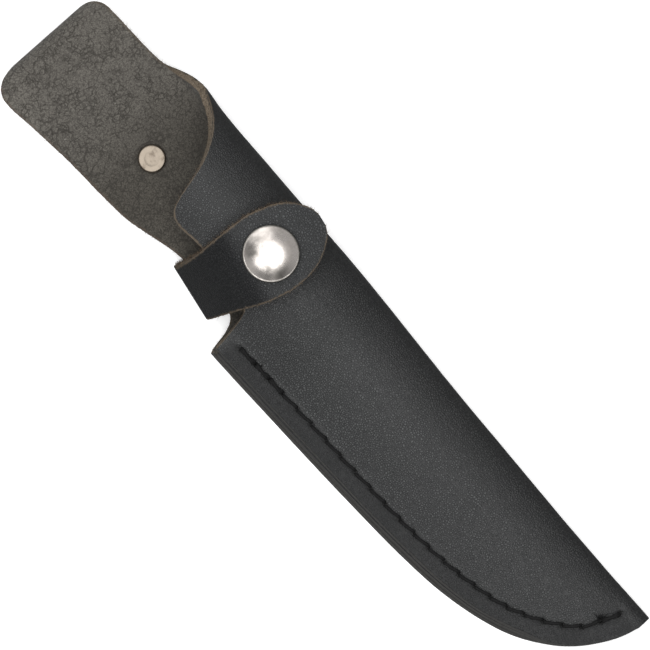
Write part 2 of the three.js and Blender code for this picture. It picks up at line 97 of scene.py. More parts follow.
class Side(Enum):
    """The faces of a sheet of leather, in the order of its material slots."""

    GRAIN = 0
    FLESH = 1
    CUT = 2
    SANDED = 3


# ---- Number helpers --------------------------------------------------------------------------------------


@dataclass(frozen=True)
class Line:
    """A smooth line y(x) through its points, level beyond its two ends.

    At each point it has the mean slope of the stretches on its two sides.
    """

    points: tuple[tuple[float, float], ...]

    def __call__(self, x: float | np.ndarray) -> float | np.ndarray:
        """The line's height at x.

        Args:
            x: One place or an array of places.

        Returns:
            The height or heights there.
        """
        xs, ys = np.array(self.points, float).T
        secants = np.diff(ys) / np.diff(xs)
        slopes = np.concatenate([secants[:1], (secants[1:] + secants[:-1]) / 2, secants[-1:]])
        at = np.clip(x, xs[0], xs[-1])
        i = np.clip(np.searchsorted(xs, at, side="right") - 1, 0, len(xs) - 2)
        step = xs[i + 1] - xs[i]
        t = (at - xs[i]) / step
        start = (1 + 2 * t) * (1 - t) ** 2 * ys[i] + t * (1 - t) ** 2 * step * slopes[i]
        return start + t * t * (3 - 2 * t) * ys[i + 1] + t * t * (t - 1) * step * slopes[i + 1]


def smoothstep(x: float | np.ndarray, low: float, high: float) -> float | np.ndarray:
    """0 below low, 1 above high and smooth between them.

    Args:
        x: The value or values.
        low: Where the rise starts.
        high: Where the rise ends.

    Returns:
        The share or shares of the rise.
    """
    t = np.clip((x - low) / (high - low), 0, 1)
    return t * t * (3 - 2 * t)


def bump(distance: float | np.ndarray, width: float) -> float | np.ndarray:
    """A round bump: 1 at no distance, falling away over the width."""
    return np.exp(-((distance / width) ** 2))


def steps(first: float, last: float, length: float) -> np.ndarray:
    """Even places from first up to, but without, last, about the given length apart."""
    return np.linspace(first, last, round(abs(last - first) / length), endpoint=False)


def unit(vectors: np.ndarray) -> np.ndarray:
    """The vectors at length 1."""
    return vectors / np.maximum(np.linalg.norm(vectors, axis=-1, keepdims=True), 1e-9)


def rough(points: np.ndarray, size: float, seed: float) -> np.ndarray:
    """Smooth random values from about -0.6 to 0.6 at places in space.

    Args:
        points: An array whose last axis is x, y, z.
        size: The distance over which the values change.
        seed: Shifts the pattern.

    Returns:
        An array of one value for each point.
    """
    flat = points.reshape(-1, 3) / size + seed
    return np.array([noise.noise(p) for p in flat]).reshape(points.shape[:-1])


def metres(points: np.ndarray) -> np.ndarray:
    """Points in the part's frame, in metres."""
    return points * MM + ORIGIN


# ---- Node trees ------------------------------------------------------------------------------------------


class Graph:
    """Adds nodes to one material's or one group's tree and joins them."""

    def __init__(self, tree: bpy.types.NodeTree) -> None:
        """Starts on an empty tree."""
        self.tree = tree
        tree.nodes.clear()

    def node(self, kind: str, given: Given | None = None, **settings: object) -> bpy.types.Node:
        """Adds one node.

        Args:
            kind: The node's type, without the ShaderNode prefix.
            given: A constant or a socket to link for each named or numbered input.
            **settings: The node's own properties.

        Returns:
            The new node.
        """
        made = self.tree.nodes.new("ShaderNode" + kind)
        for name, value in settings.items():
            setattr(made, name, value)
        for name, value in (given or {}).items():
            self.feed(made.inputs[name], value)
        return made

    def feed(self, socket: bpy.types.NodeSocket, value: object) -> None:
        """Links a socket to an input, or sets the input to a constant.

        Args:
            socket: The input.
            value: The socket to link or the constant.
        """
        if isinstance(value, bpy.types.NodeSocket):
            self.tree.links.new(value, socket)
        else:
            socket.default_value = value

    def place(self) -> bpy.types.NodeSocket:
        """The piece's own coordinates, in metres."""
        return self.node("TexCoord").outputs["Object"]

    def mark(self, name: str) -> bpy.types.NodeSocket:
        """A value that the mesh carries on its points."""
        return self.node("Attribute", attribute_name=name).outputs["Fac"]

    def sum(self, operation: str, a: object, b: object = 0.0) -> bpy.types.NodeSocket:
        """One step of arithmetic on two values."""
        return self.node("Math", {0: a, 1: b}, operation=operation).outputs[0]

    def rise(
        self, value: object, low: float, high: float, to: tuple[float, float] = (0, 1)
    ) -> bpy.types.NodeSocket:
        """Maps a value smoothly from low..high onto another range, and holds it there."""
        given = {"Value": value, "From Min": low, "From Max": high, "To Min": to[0], "To Max": to[1]}
        return self.node("MapRange", given, interpolation_type="SMOOTHSTEP").outputs[0]

    def mix(self, share: object, a: object, b: object) -> bpy.types.NodeSocket:
        """Mixes two colours by a share."""
        return self.node("Mix", {0: share, 6: a, 7: b}, data_type="RGBA").outputs[2]

    def relief(self, height: bpy.types.NodeSocket, strength: float, depth: float) -> bpy.types.NodeSocket:
        """The normals of a fine relief."""
        return self.node("Bump", {"Height": height, "Strength": strength, "Distance": depth}).outputs[0]

    def cells(self, at: object, size: object) -> bpy.types.NodeSocket:
        """How far a place is from the edge of its cell, in a pattern of random cells."""
        given = {"Vector": at, "Scale": size}
        return self.node("TexVoronoi", given, feature="DISTANCE_TO_EDGE").outputs[0]

    def cloud(
        self, at: object, size: object, detail: float = 3.0, stretch: tuple[float, float, float] | None = None
    ) -> bpy.types.NodeSocket:
        """Soft random values.

        Args:
            at: The coordinates' socket.
            size: The scale, in cycles for each metre.
            detail: How many finer layers it has.
            stretch: A factor for each axis of the coordinates.

        Returns:
            The values' socket, from 0 to 1.
        """
        if stretch:
            at = self.node("Mapping", {"Vector": at, "Scale": stretch}).outputs[0]
        given = {"Vector": at, "Scale": size, "Detail": detail, "Roughness": 0.6}
        return self.node("TexNoise", given).outputs[0]


class Effect(Enum):
    """The effects that several finishes share, each kept as one node group."""

    PEBBLE = "leather_pebble"
    NAP = "leather_nap"
    WEAR = "edge_wear"
    LINT = "lint"
    HANDLING = "metal_handling"


class Effects:
    """Builds each shared node group the first time a finish asks for it."""

    @classmethod
    def node(cls, graph: Graph, effect: Effect, given: Given) -> bpy.types.Node:
        """Places an effect's group in a finish.

        Args:
            graph: The finish's graph.
            effect: The effect.
            given: What its inputs get.

        Returns:
            The group's node.
        """
        tree = bpy.data.node_groups.get(effect.value) or cls._build(effect)
        return graph.node("Group", given, node_tree=tree)

    @classmethod
    def _build(cls, effect: Effect) -> bpy.types.NodeTree:
        """Makes one effect's group.

        Args:
            effect: The effect.

        Returns:
            The group.
        """
        builders = {
            Effect.PEBBLE: (cls._pebble, ("Size",), ("Height", "Tone")),
            Effect.NAP: (cls._nap, ("Size",), ("Height", "Mottle")),
            Effect.WEAR: (cls._wear, ("Mask", "Size"), ("Wear",)),
            Effect.LINT: (cls._lint, ("Size", "Amount"), ("Specks",)),
            Effect.HANDLING: (cls._handling, ("Size",), ("Scratches", "Smudge")),
        }
        fill, inputs, outputs = builders[effect]
        tree = bpy.data.node_groups.new(effect.value, "ShaderNodeTree")
        tree.interface.new_socket("Vector", in_out="INPUT", socket_type="NodeSocketVector")
        for name in inputs:
            tree.interface.new_socket(name, in_out="INPUT", socket_type="NodeSocketFloat")
        for name in outputs:
            tree.interface.new_socket(name, in_out="OUTPUT", socket_type="NodeSocketFloat")
        graph = Graph(tree)
        source = tree.nodes.new("NodeGroupInput").outputs
        sink = tree.nodes.new("NodeGroupOutput").inputs
        for socket, name in zip(fill(graph, source), outputs):
            tree.links.new(socket, sink[name])
        return tree

    @staticmethod
    def _pebble(graph: Graph, source: bpy.types.NodeOutputs) -> tuple[bpy.types.NodeSocket, ...]:
        """Fine rounded pebbles with creases between them, and a slow drift of tone.

        Args:
            graph: The group's graph.
            source: Its inputs: Vector and Size, in pebbles for each metre.

        Returns:
            The sockets of Height and Tone.
        """
        at, size = source["Vector"], source["Size"]
        warped = graph.node("TexNoise", {"Vector": at, "Scale": size, "Detail": 1.0}).outputs[1]
        shift = graph.node("VectorMath", {0: warped, 1: (0.00025,) * 3}, operation="MULTIPLY").outputs[0]
        moved = graph.node("VectorMath", {0: at, 1: shift}, operation="ADD").outputs[0]
        domes = graph.rise(graph.cells(moved, size), 0.0, 0.32)
        fine = graph.cloud(at, graph.sum("MULTIPLY", size, 2.6), 2.0)
        height = graph.sum("ADD", graph.sum("MULTIPLY", domes, 0.6), graph.sum("MULTIPLY", fine, 0.4))
        tone = graph.cloud(at, graph.sum("MULTIPLY", size, 0.035), 4.0)
        return height, tone

    @staticmethod
    def _nap(graph: Graph, source: bpy.types.NodeOutputs) -> tuple[bpy.types.NodeSocket, ...]:
        """The matted fibres of split leather.

        Args:
            graph: The group's graph.
            source: Its inputs: Vector and Size, in tufts for each metre.

        Returns:
            The sockets of Height and Mottle.
        """
        at, size = source["Vector"], source["Size"]
        tufts = graph.cloud(at, size, 6.0)
        strands = graph.cloud(at, graph.sum("MULTIPLY", size, 2.2), 2.0, (1.0, 0.35, 1.0))
        height = graph.sum("ADD", graph.sum("MULTIPLY", tufts, 0.55), graph.sum("MULTIPLY", strands, 0.45))
        mottle = graph.rise(height, 0.36, 0.64)
        return height, mottle

    @staticmethod
    def _wear(graph: Graph, source: bpy.types.NodeOutputs) -> tuple[bpy.types.NodeSocket, ...]:
        """Breaks a mask up into rubbed patches.

        Args:
            graph: The group's graph.
            source: Its inputs: Vector, Mask from 0 to 1, and Size in patches for each metre.

        Returns:
            The socket of Wear.
        """
        patches = graph.cloud(source["Vector"], source["Size"], 5.0)
        pushed = graph.sum("ADD", source["Mask"], graph.sum("SUBTRACT", patches, 0.5))
        return (graph.rise(pushed, 0.45, 0.95),)

    @staticmethod
    def _lint(graph: Graph, source: bpy.types.NodeOutputs) -> tuple[bpy.types.NodeSocket, ...]:
        """Sparse pale specks.

        Args:
            graph: The group's graph.
            source: Its inputs: Vector, Size in cells for each metre, and Amount from 0 to 1.

        Returns:
            The socket of Specks.
        """
        cells = graph.node("TexVoronoi", {"Vector": source["Vector"], "Scale": source["Size"]})
        near = graph.rise(cells.outputs["Distance"], 0.16, 0.04)
        chance = graph.node("TexWhiteNoise", {"Vector": cells.outputs["Position"]}).outputs["Value"]
        chosen = graph.sum("LESS_THAN", chance, graph.sum("MULTIPLY", source["Amount"], 0.1))
        return (graph.sum("MULTIPLY", near, chosen),)

    @staticmethod
    def _handling(graph: Graph, source: bpy.types.NodeOutputs) -> tuple[bpy.types.NodeSocket, ...]:
        """Hair scratches and the dull smudges of fingers on metal.

        Args:
            graph: The group's graph.
            source: Its inputs: Vector and Size, in scratches for each metre.

        Returns:
            The sockets of Scratches and Smudge.
        """
        at, size = source["Vector"], source["Size"]
        one_way = graph.cloud(at, size, 2.0, (1.0, 0.06, 1.0))
        other_way = graph.cloud(at, size, 2.0, (0.08, 1.0, 1.0))
        lines = graph.sum("MAXIMUM", graph.rise(one_way, 0.62, 0.72), graph.rise(other_way, 0.64, 0.74))
        smudge = graph.cloud(at, graph.sum("MULTIPLY", size, 0.12), 4.0)
        return lines, smudge


# ---- Finishes --------------------------------------------------------------------------------------------


@dataclass(frozen=True)
class Finish:
    """A finish is one material, made when it is first used."""

    name: str

    def material(self) -> bpy.types.Material:
        """The finish's material.

        Returns:
            The material, built once for each name.
        """
        made = bpy.data.materials.get(self.name)
        if made:
            return made
        made = bpy.data.materials.new(self.name)
        made.use_nodes = True
        graph = Graph(made.node_tree)
        surface = self.surface(graph)
        graph.node("OutputMaterial", {"Surface": surface.outputs[0]})
        return made

    def surface(self, graph: Graph) -> bpy.types.Node:
        """Builds the finish's shader node in the graph."""
        raise NotImplementedError


@dataclass(frozen=True)
class GrainLeather(Finish):
    """The dyed outer face of the leather."""

    dye: Colour = (0.0082, 0.0087, 0.0090, 1)
    rubbed: Colour = (0.0236, 0.0246, 0.0248, 1)
    # The next two colours paint a sheen of light: the hollows and the crowns where the sheen mark lies, on
    # the front's seam side and the strap's top.
    painted_sheen: Colour = (0.0162, 0.0170, 0.0172, 1)
    bright: Colour = (0.068, 0.0705, 0.0705, 1)
    bared: Colour = (0.11, 0.085, 0.06, 1)
    # The next colour paints shade into the stitch holes.
    hole: Colour = (0.003, 0.003, 0.003, 1)
    pebbles: float = 1700.0
    depth: float = 0.00018
    gloss: tuple[float, float] = (0.42, 0.54)
    pressing: float = 0.12  # how much duller the pressed or stretched parts are
    specular: float = 0.5

    def surface(self, graph: Graph) -> bpy.types.Node:
        """Pebbled dye that lightens on the crowns, dulls beside the seam and wears through at cut edges. It
        also carries a painted sheen of light on the front's seam side and on the strap's top, painted shade
        in the stitch holes, and painted shade on the strap's slope where the flange mark dims the crowns.

        Args:
            graph: The material's graph.

        Returns:
            The shader node.
        """
        at = graph.place()
        pebble = Effects.node(graph, Effect.PEBBLE, {"Vector": at, "Size": self.pebbles})
        worn = Effects.node(graph, Effect.WEAR, {"Vector": at, "Mask": graph.mark("wear"), "Size": 900.0})
        wear = worn.outputs["Wear"]
        high, drift = pebble.outputs["Height"], pebble.outputs["Tone"]
        flange, painted_sheen = graph.mark("flange"), graph.mark("painted_sheen")
        crown = graph.sum("MULTIPLY", graph.rise(high, 0.42, 0.86), graph.rise(drift, 0.3, 0.7, (0.55, 1.0)))
        # The flange mark dims the crowns: beside the pouch's seam this is the pressed leather's own duller
        # look; on the strap it lies on the slope up from the fold and is painted shade.
        crowned = graph.sum("MULTIPLY", crown, graph.rise(flange, 0, 1, (1, 0.45)))
        # Painted sheen: lighter hollows and crowns where the light falls most, on the front's seam side and
        # the strap's top.
        hollows = graph.mix(painted_sheen, self.dye, self.painted_sheen)
        crowns = graph.mix(painted_sheen, self.rubbed, self.bright)
        # Painted shade: the grain darkens to the hole colour in and round each stitch hole.
        inked = graph.mix(graph.mark("hole_shade"), graph.mix(crowned, hollows, crowns), self.hole)
        pressed = graph.sum("MULTIPLY", flange, self.pressing)
        dull = graph.sum("ADD", graph.rise(drift, 0.25, 0.75, self.gloss), pressed)
        height = graph.sum("ADD", high, graph.sum("MULTIPLY", drift, 0.8))
        return graph.node("BsdfPrincipled", {
            "Base Color": graph.mix(wear, inked, self.bared),
            "Roughness": graph.sum("ADD", dull, graph.sum("MULTIPLY", wear, 0.25)),
            "Normal": graph.relief(height, 0.85, self.depth),
            "IOR": 1.48,
            "Specular IOR Level": self.specular,
        })


@dataclass(frozen=True)
class FleshLeather(Finish):
    """The matted inner face of the leather."""

    dark: Colour = (0.048, 0.043, 0.037, 1)
    light: Colour = (0.148, 0.138, 0.120, 1)
    brown: Colour = (0.085, 0.060, 0.040, 1)
    # The next colour darkens the creases; it and the one after it also paint shade inside the mouth and round
    # the rivet.
    shade: Colour = (0.024, 0.021, 0.017, 1)
    dim: Colour = (0.080, 0.073, 0.060, 1)
    lint: Colour = (0.32, 0.30, 0.27, 1)
    tufts: float = 2300.0
    # For each kind of crease: cells, warps of their outlines, width, and patches where they show.
    creases: tuple[tuple[float, float, float, float], ...] = (
        (680.0, 1100.0, 0.15, 300.0), (230.0, 420.0, 0.06, 110.0),
    )

    def surface(self, graph: Graph) -> bpy.types.Node:
        """Mottled, dull nap, browner beside a cut edge, with painted shade inside the mouth and in a ring
        round the rivet.

        Args:
            graph: The material's graph.

        Returns:
            The shader node.
        """
        at = graph.place()
        nap = Effects.node(graph, Effect.NAP, {"Vector": at, "Size": self.tufts})
        lint = Effects.node(graph, Effect.LINT, {"Vector": at, "Size": 500.0, "Amount": 0.12})
        wear = Effects.node(graph, Effect.WEAR, {"Vector": at, "Mask": graph.mark("wear"), "Size": 1100.0})
        slow = graph.rise(graph.cloud(at, 45.0, 3.0), 0.3, 0.7, (0.78, 1.12))
        # The deep mark paints shade: darker flesh inside the mouth and in a ring round the rivet's pocket.
        deep = graph.mark("deep")
        darkest, lightest = graph.mix(deep, self.dark, self.shade), graph.mix(deep, self.light, self.dim)
        mottled = graph.mix(graph.sum("MULTIPLY", nap.outputs["Mottle"], slow), darkest, lightest)
        creased = graph.mix(graph.sum("MULTIPLY", self.wrinkles(graph, at), 0.8), mottled, self.shade)
        edged = graph.mix(graph.sum("MULTIPLY", wear.outputs["Wear"], 0.5), creased, self.brown)
        colour = graph.mix(graph.sum("MULTIPLY", lint.outputs["Specks"], 0.6), edged, self.lint)
        normal = graph.relief(nap.outputs["Height"], 0.8, 0.00018)
        given = {"Base Color": colour, "Roughness": 0.95, "Normal": normal, "Sheen Weight": 0.12}
        return graph.node("BsdfPrincipled", given)

    def wrinkles(self, graph: Graph, at: bpy.types.NodeSocket) -> bpy.types.NodeSocket:
        """Thin dark creases that come and go.

        Args:
            graph: The material's graph.
            at: The coordinates' socket.

        Returns:
            The mask's socket.
        """
        masks = []
        for size, warp_size, width, patches in self.creases:
            warp = graph.node("TexNoise", {"Vector": at, "Scale": warp_size, "Detail": 3.0}).outputs[1]
            far = (1.1 / warp_size,) * 3
            moved = graph.node("VectorMath", {0: warp, 1: far, 2: at}, operation="MULTIPLY_ADD").outputs[0]
            lines = graph.rise(graph.cells(moved, size), width, 0.0)
            here = graph.rise(graph.cloud(at, patches, 2.0), 0.42, 0.58)
            masks.append(graph.sum("MULTIPLY", lines, here))
        return graph.sum("MAXIMUM", *masks)


@dataclass(frozen=True)
class CutEdge(Finish):
    """The leather's raw edge: pale fibres in the middle, dyed darker towards its two faces."""

    pale: Colour = (0.19, 0.155, 0.112, 1)
    brown: Colour = (0.060, 0.043, 0.029, 1)
    bled: Colour = (0.024, 0.021, 0.018, 1)

    def surface(self, graph: Graph) -> bpy.types.Node:
        """Tan fibre with brown patches, and dye that has bled in from the grain.

        Args:
            graph: The material's graph.

        Returns:
            The shader node.
        """
        at = graph.place()
        nap = Effects.node(graph, Effect.NAP, {"Vector": at, "Size": 2300.0})
        through = graph.mark("through")
        clean = graph.rise(graph.sum("ADD", through, graph.cloud(at, 700.0, 3.0)), 0.50, 0.72)
        fibres = graph.mix(nap.outputs["Mottle"], self.brown, self.pale)
        colour = graph.mix(clean, self.bled, fibres)
        normal = graph.relief(nap.outputs["Height"], 0.9, 0.00012)
        return graph.node("BsdfPrincipled", {"Base Color": colour, "Roughness": 0.9, "Normal": normal})


@dataclass(frozen=True)
class SandedEdge(Finish):
    """The sewn edge's three layers, sanded together, dyed and burnished."""

    dye: Colour = (0.018, 0.0177, 0.017, 1)
    rubbed: Colour = (0.135, 0.129, 0.118, 1)
    glued: Colour = (0.006, 0.006, 0.006, 1)
    joints: tuple[float, ...] = (2.3, 4.5, 6.6)  # heights of the lines between layers, in mm

    def surface(self, graph: Graph) -> bpy.types.Node:
        """Fine lines that run with the layers, under a satin dye.

        Args:
            graph: The material's graph.

        Returns:
            The shader node.
        """
        at = graph.place()
        rise = graph.mark("rise")
        layers = graph.node("CombineXYZ", {"X": graph.sum("MULTIPLY", rise, 0.9)}).outputs[0]
        drift = graph.node("VectorMath", {0: at, 1: (14.0,) * 3}, operation="MULTIPLY").outputs[0]
        along = graph.node("VectorMath", {0: layers, 1: drift}, operation="ADD").outputs[0]
        lines = graph.cloud(along, 4.2, 5.0)
        nap = Effects.node(graph, Effect.NAP, {"Vector": at, "Size": 1700.0})
        high = nap.outputs["Height"]
        share = graph.sum("MULTIPLY", graph.rise(lines, 0.34, 0.66), graph.rise(high, 0.25, 0.7))
        dark: object = 0.0
        for joint in self.joints:
            away = graph.sum("ABSOLUTE", graph.sum("SUBTRACT", rise, joint))
            dark = graph.sum("MAXIMUM", dark, graph.rise(away, 0.42, 0.14))
        colour = graph.mix(dark, graph.mix(share, self.dye, self.rubbed), self.glued)
        normal = graph.relief(graph.sum("ADD", lines, graph.sum("MULTIPLY", high, 0.4)), 0.7, 0.00012)
        gloss = graph.rise(lines, 0.3, 0.7, (0.48, 0.66))
        return graph.node("BsdfPrincipled", {"Base Color": colour, "Roughness": gloss, "Normal": normal})


@dataclass(frozen=True)
class WaxedThread(Finish):
    """Black waxed thread."""

    dye: Colour = (0.0015, 0.0015, 0.0016, 1)
    dusty: Colour = (0.0075, 0.0075, 0.0078, 1)

    def surface(self, graph: Graph) -> bpy.types.Node:
        """Near-black fibre with a little dust on its crowns.

        Args:
            graph: The material's graph.

        Returns:
            The shader node.
        """
        at = graph.place()
        nap = Effects.node(graph, Effect.NAP, {"Vector": at, "Size": 5200.0})
        colour = graph.mix(nap.outputs["Mottle"], self.dye, self.dusty)
        normal = graph.relief(nap.outputs["Height"], 0.6, 0.00005)
        given = {"Base Color": colour, "Roughness": 0.8, "Normal": normal, "Specular IOR Level": 0.28}
        return graph.node("BsdfPrincipled", given)


@dataclass(frozen=True)
class Fibre(Finish):
    """Loose leather fibres at a raw edge."""

    pale: Colour = (0.26, 0.20, 0.13, 1)
    brown: Colour = (0.075, 0.050, 0.032, 1)

    def surface(self, graph: Graph) -> bpy.types.Node:
        """Tan and brown hairs.

        Args:
            graph: The material's graph.

        Returns:
            The shader node.
        """
        shade = graph.rise(graph.cloud(graph.place(), 900.0, 2.0), 0.46, 0.72)
        colour = graph.mix(shade, self.brown, self.pale)
        return graph.node("BsdfPrincipled", {"Base Color": colour, "Roughness": 0.9})


@dataclass(frozen=True)
class Metal(Finish):
    """A plated or drawn metal that hands have worn."""

    plate: Colour = (0.93, 0.865, 0.815, 1)
    dulled: Colour = (0.78, 0.72, 0.67, 1)
    # The next colour paints dark reflections on the cap's dome and shade over its rim.
    painted_dark_reflection: Colour = (0.19, 0.18, 0.165, 1)
    gloss: tuple[float, float] = (0.24, 0.36)
    scratches: float = 2600.0

    def surface(self, graph: Graph) -> bpy.types.Node:
        """Bright plate with hair scratches and dull smudges, and painted dark reflections where a piece is
        marked for them.

        Args:
            graph: The material's graph.

        Returns:
            The shader node.
        """
        at = graph.place()
        use = Effects.node(graph, Effect.HANDLING, {"Vector": at, "Size": self.scratches})
        smudge, scratches = use.outputs["Smudge"], use.outputs["Scratches"]
        patchy = graph.rise(smudge, 0.3, 0.6, (0.45, 1))
        # Painted dark reflections on the cap's dome and painted shade over its rim, where the cap is marked
        # for them.
        painted_dark = graph.sum("MULTIPLY", graph.mark("painted_dark_reflection"), patchy)
        clean = graph.mix(graph.rise(smudge, 0.48, 0.64), self.plate, self.dulled)
        colour = graph.mix(painted_dark, clean, self.painted_dark_reflection)
        scratched = graph.sum("MULTIPLY", scratches, 0.12)
        gloss = graph.sum("ADD", graph.rise(smudge, 0.3, 0.72, self.gloss), scratched)
        normal = graph.relief(scratches, 0.25, 0.00001)
        given = {"Base Color": colour, "Roughness": gloss, "Metallic": 1.0, "Normal": normal}
        return graph.node("BsdfPrincipled", given)


@dataclass(frozen=True)
class PaleFloor(Finish):
    """The plain pale surface under the object."""

    white: float = 0.9  # as seen
    glow: float = 0.42
    white_in_bounces: float = 0.2  # as it lights the object
    glow_in_bounces: float = 0.05

    def surface(self, graph: Graph) -> bpy.types.Node:
        """White card that glows a little, so shadows on it stay faint, and throws little light back up.

        Args:
            graph: The material's graph.

        Returns:
            The shader node.
        """
        seen = graph.node("LightPath").outputs["Is Camera Ray"]
        colour, glow = (
            graph.mix(seen, (bounced, bounced, bounced, 1), (shown, shown, shown, 1))
            for bounced, shown in ((self.white_in_bounces, self.white), (self.glow_in_bounces, self.glow))
        )
        given = {"Base Color": colour, "Roughness": 0.9, "Emission Color": glow, "Emission Strength": 1.0}
        return graph.node("BsdfPrincipled", given)


BLACK_GRAIN = GrainLeather("black_grain_leather")
STRAP_GRAIN = GrainLeather(
    "strap_grain_leather", dye=(0.0076, 0.0082, 0.0088, 1), rubbed=(0.026, 0.0272, 0.0278, 1), pebbles=1500.0,
    painted_sheen=(0.0330, 0.0342, 0.0348, 1), bright=(0.080, 0.083, 0.084, 1), depth=0.00032, gloss=(0.40, 0.50),
    pressing=-0.06, specular=0.27,
)
FLESH = FleshLeather("flesh_side")
CUT = CutEdge("cut_leather_edge")
STRAP_CUT = CutEdge("strap_cut_edge", pale=(0.17, 0.140, 0.102, 1), brown=(0.032, 0.024, 0.017, 1))
SANDED = SandedEdge("sanded_sewn_edge")
THREAD = WaxedThread("waxed_black_thread")
FIBRE = Fibre("leather_fibre")
SNAP_NICKEL = Metal("snap_nickel_plate")
RIVET_NICKEL = Metal(
    "rivet_nickel_plate", plate=(0.26, 0.222, 0.18, 1), dulled=(0.16, 0.132, 0.105, 1), gloss=(0.34, 0.46)
)
SPRING_WIRE = Metal(
    "spring_wire", plate=(0.55, 0.53, 0.50, 1), dulled=(0.35, 0.33, 0.31, 1), scratches=5000.0
)
LEATHER_SIDES = (BLACK_GRAIN, FLESH, CUT, SANDED)
STRAP_SIDES = (STRAP_GRAIN, FLESH, STRAP_CUT, SANDED)


# ---- Meshes ----------------------------------------------------------------------------------------------


def finished(
    name: str, bm: bmesh.types.BMesh, finishes: Sequence[Finish], crease: float = 180.0
) -> bpy.types.Object:
    """Turns a bmesh in millimetres into a shaded object in the part's frame.

    Args:
        name: The piece's name.
        bm: Its shape, which is freed.
        finishes: Its finishes, in the order of the faces' material numbers.
        crease: Edges sharper than this angle, in degrees, are shaded sharp.

    Returns:
        The object, not yet riding on a body.
    """
    for vert in bm.verts:
        vert.co = Vector(metres(np.array(vert.co)))
        vert.co.z = max(vert.co.z, 0.0)
    mesh = bpy.data.meshes.new(name)
    bm.to_mesh(mesh)
    bm.free()
    for finish in finishes:
        mesh.materials.append(finish.material())
    mesh.shade_smooth()
    if crease < 180:
        mesh.set_sharp_from_angle(angle=math.radians(crease))
    piece = bpy.data.objects.new(name, mesh)
    bpy.context.scene.collection.objects.link(piece)
    return piece


def settle(
    piece: bpy.types.Object, slot: Slot, nodes: Sequence[str] = (), body: Body | None = None
) -> bpy.types.Object:
    """Hides the CAD nodes that a finished piece replaces, puts it on the body that it rides on and logs its
    faces.

    Args:
        piece: The piece.
        slot: The record's slot that its finish comes from; not used.
        nodes: The CAD nodes that it replaces.
        body: The body that it rides on, or None to leave it on neither.

    Returns:
        The piece.
    """
    if nodes:
        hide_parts(*nodes)
    if body:
        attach(piece, body.value)
    log.info("%s: %d faces", piece.name, len(piece.data.polygons))
    return piece


@dataclass
class Sheet:
    """A piece of leather given by the places of its two faces, with marks for the finishes.

    Attributes:
        grain: Places of the outer face, rows by columns by 3.
        flesh: Places of the inner face, in the same order.
        marks: Named values from 0 to 1, rows by columns.
        soften: How far the cut edges' corners are rounded.
        layers: How many strips the cut edge is divided into.
    """

    grain: np.ndarray
    flesh: np.ndarray
    marks: dict[str, np.ndarray] = field(default_factory=dict)
    soften: float = 0.28
    layers: int = 4

    def build(self, edge_side: Callable[[Vector], Side]) -> bmesh.types.BMesh:
        """Makes the closed sheet.

        Args:
            edge_side: Says for a place on the cut edge which kind of edge it is.

        Returns:
            The sheet's bmesh, in millimetres.
        """
        rows, columns = self.grain.shape[:2]
        bm = bmesh.new()
        places = bm.verts.layers.int.new("place")
        through = bm.verts.layers.float.new("through")
        marks = {name: bm.verts.layers.float.new(name) for name in self.marks}
        bmesh.ops.create_grid(bm, x_segments=columns - 1, y_segments=rows - 1, size=0.5)
        for vert in bm.verts:
            row, column = round((vert.co.y + 0.5) * (rows - 1)), round((vert.co.x + 0.5) * (columns - 1))
            vert[places] = row * columns + column
        grain_faces = set(bm.faces)
        made = bmesh.ops.extrude_face_region(bm, geom=bm.faces[:], use_keep_orig=True)["geom"]
        flesh_verts = {g for g in made if isinstance(g, bmesh.types.BMVert)}
        flesh_faces = {g for g in made if isinstance(g, bmesh.types.BMFace)}
        flat = {False: self.grain.reshape(-1, 3), True: self.flesh.reshape(-1, 3)}
        values = {name: mark.reshape(-1) for name, mark in self.marks.items()}
        for vert in bm.verts:
            inner = vert in flesh_verts
            vert.co = Vector(flat[inner][vert[places]])
            vert[through] = float(inner)
            for name, layer in marks.items():
                vert[layer] = float(values[name][vert[places]])
        for face in bm.faces:
            if face in grain_faces:
                face.material_index = Side.GRAIN.value
            elif face in flesh_faces:
                face.material_index = Side.FLESH.value
            else:
                face.material_index = edge_side(face.calc_center_median()).value
        self._divide_edge(bm, flesh_verts)
        self._round_corners(bm)
        bmesh.ops.recalc_face_normals(bm, faces=bm.faces)
        return bm

    def _divide_edge(self, bm: bmesh.types.BMesh, flesh_verts: set[bmesh.types.BMVert]) -> None:
        """Divides the cut edge into strips and roughens it a little.

        Args:
            bm: The sheet.
            flesh_verts: The vertices of its inner face.
        """
        across = [e for e in bm.edges if (e.verts[0] in flesh_verts) != (e.verts[1] in flesh_verts)]
        made = bmesh.ops.subdivide_edges(bm, edges=across, cuts=self.layers - 1, use_grid_fill=True)
        for vert in (g for g in made["geom_inner"] if isinstance(g, bmesh.types.BMVert)):
            vert.co += noise.noise_vector(vert.co * 1.3) * 0.09

    def _round_corners(self, bm: bmesh.types.BMesh) -> None:
        """Rounds the corners between the two faces and the cut edge.

        Args:
            bm: The sheet.
        """
        edge_kinds = {Side.CUT.value, Side.SANDED.value}
        corners = [
            e for e in bm.edges
            if len(e.link_faces) == 2 and sum(f.material_index in edge_kinds for f in e.link_faces) == 1
        ]
        bmesh.ops.bevel(
            bm, geom=corners, offset=self.soften, offset_type="OFFSET", segments=2, profile=0.5,
            affect="EDGES", clamp_overlap=True, material=-1,
        )


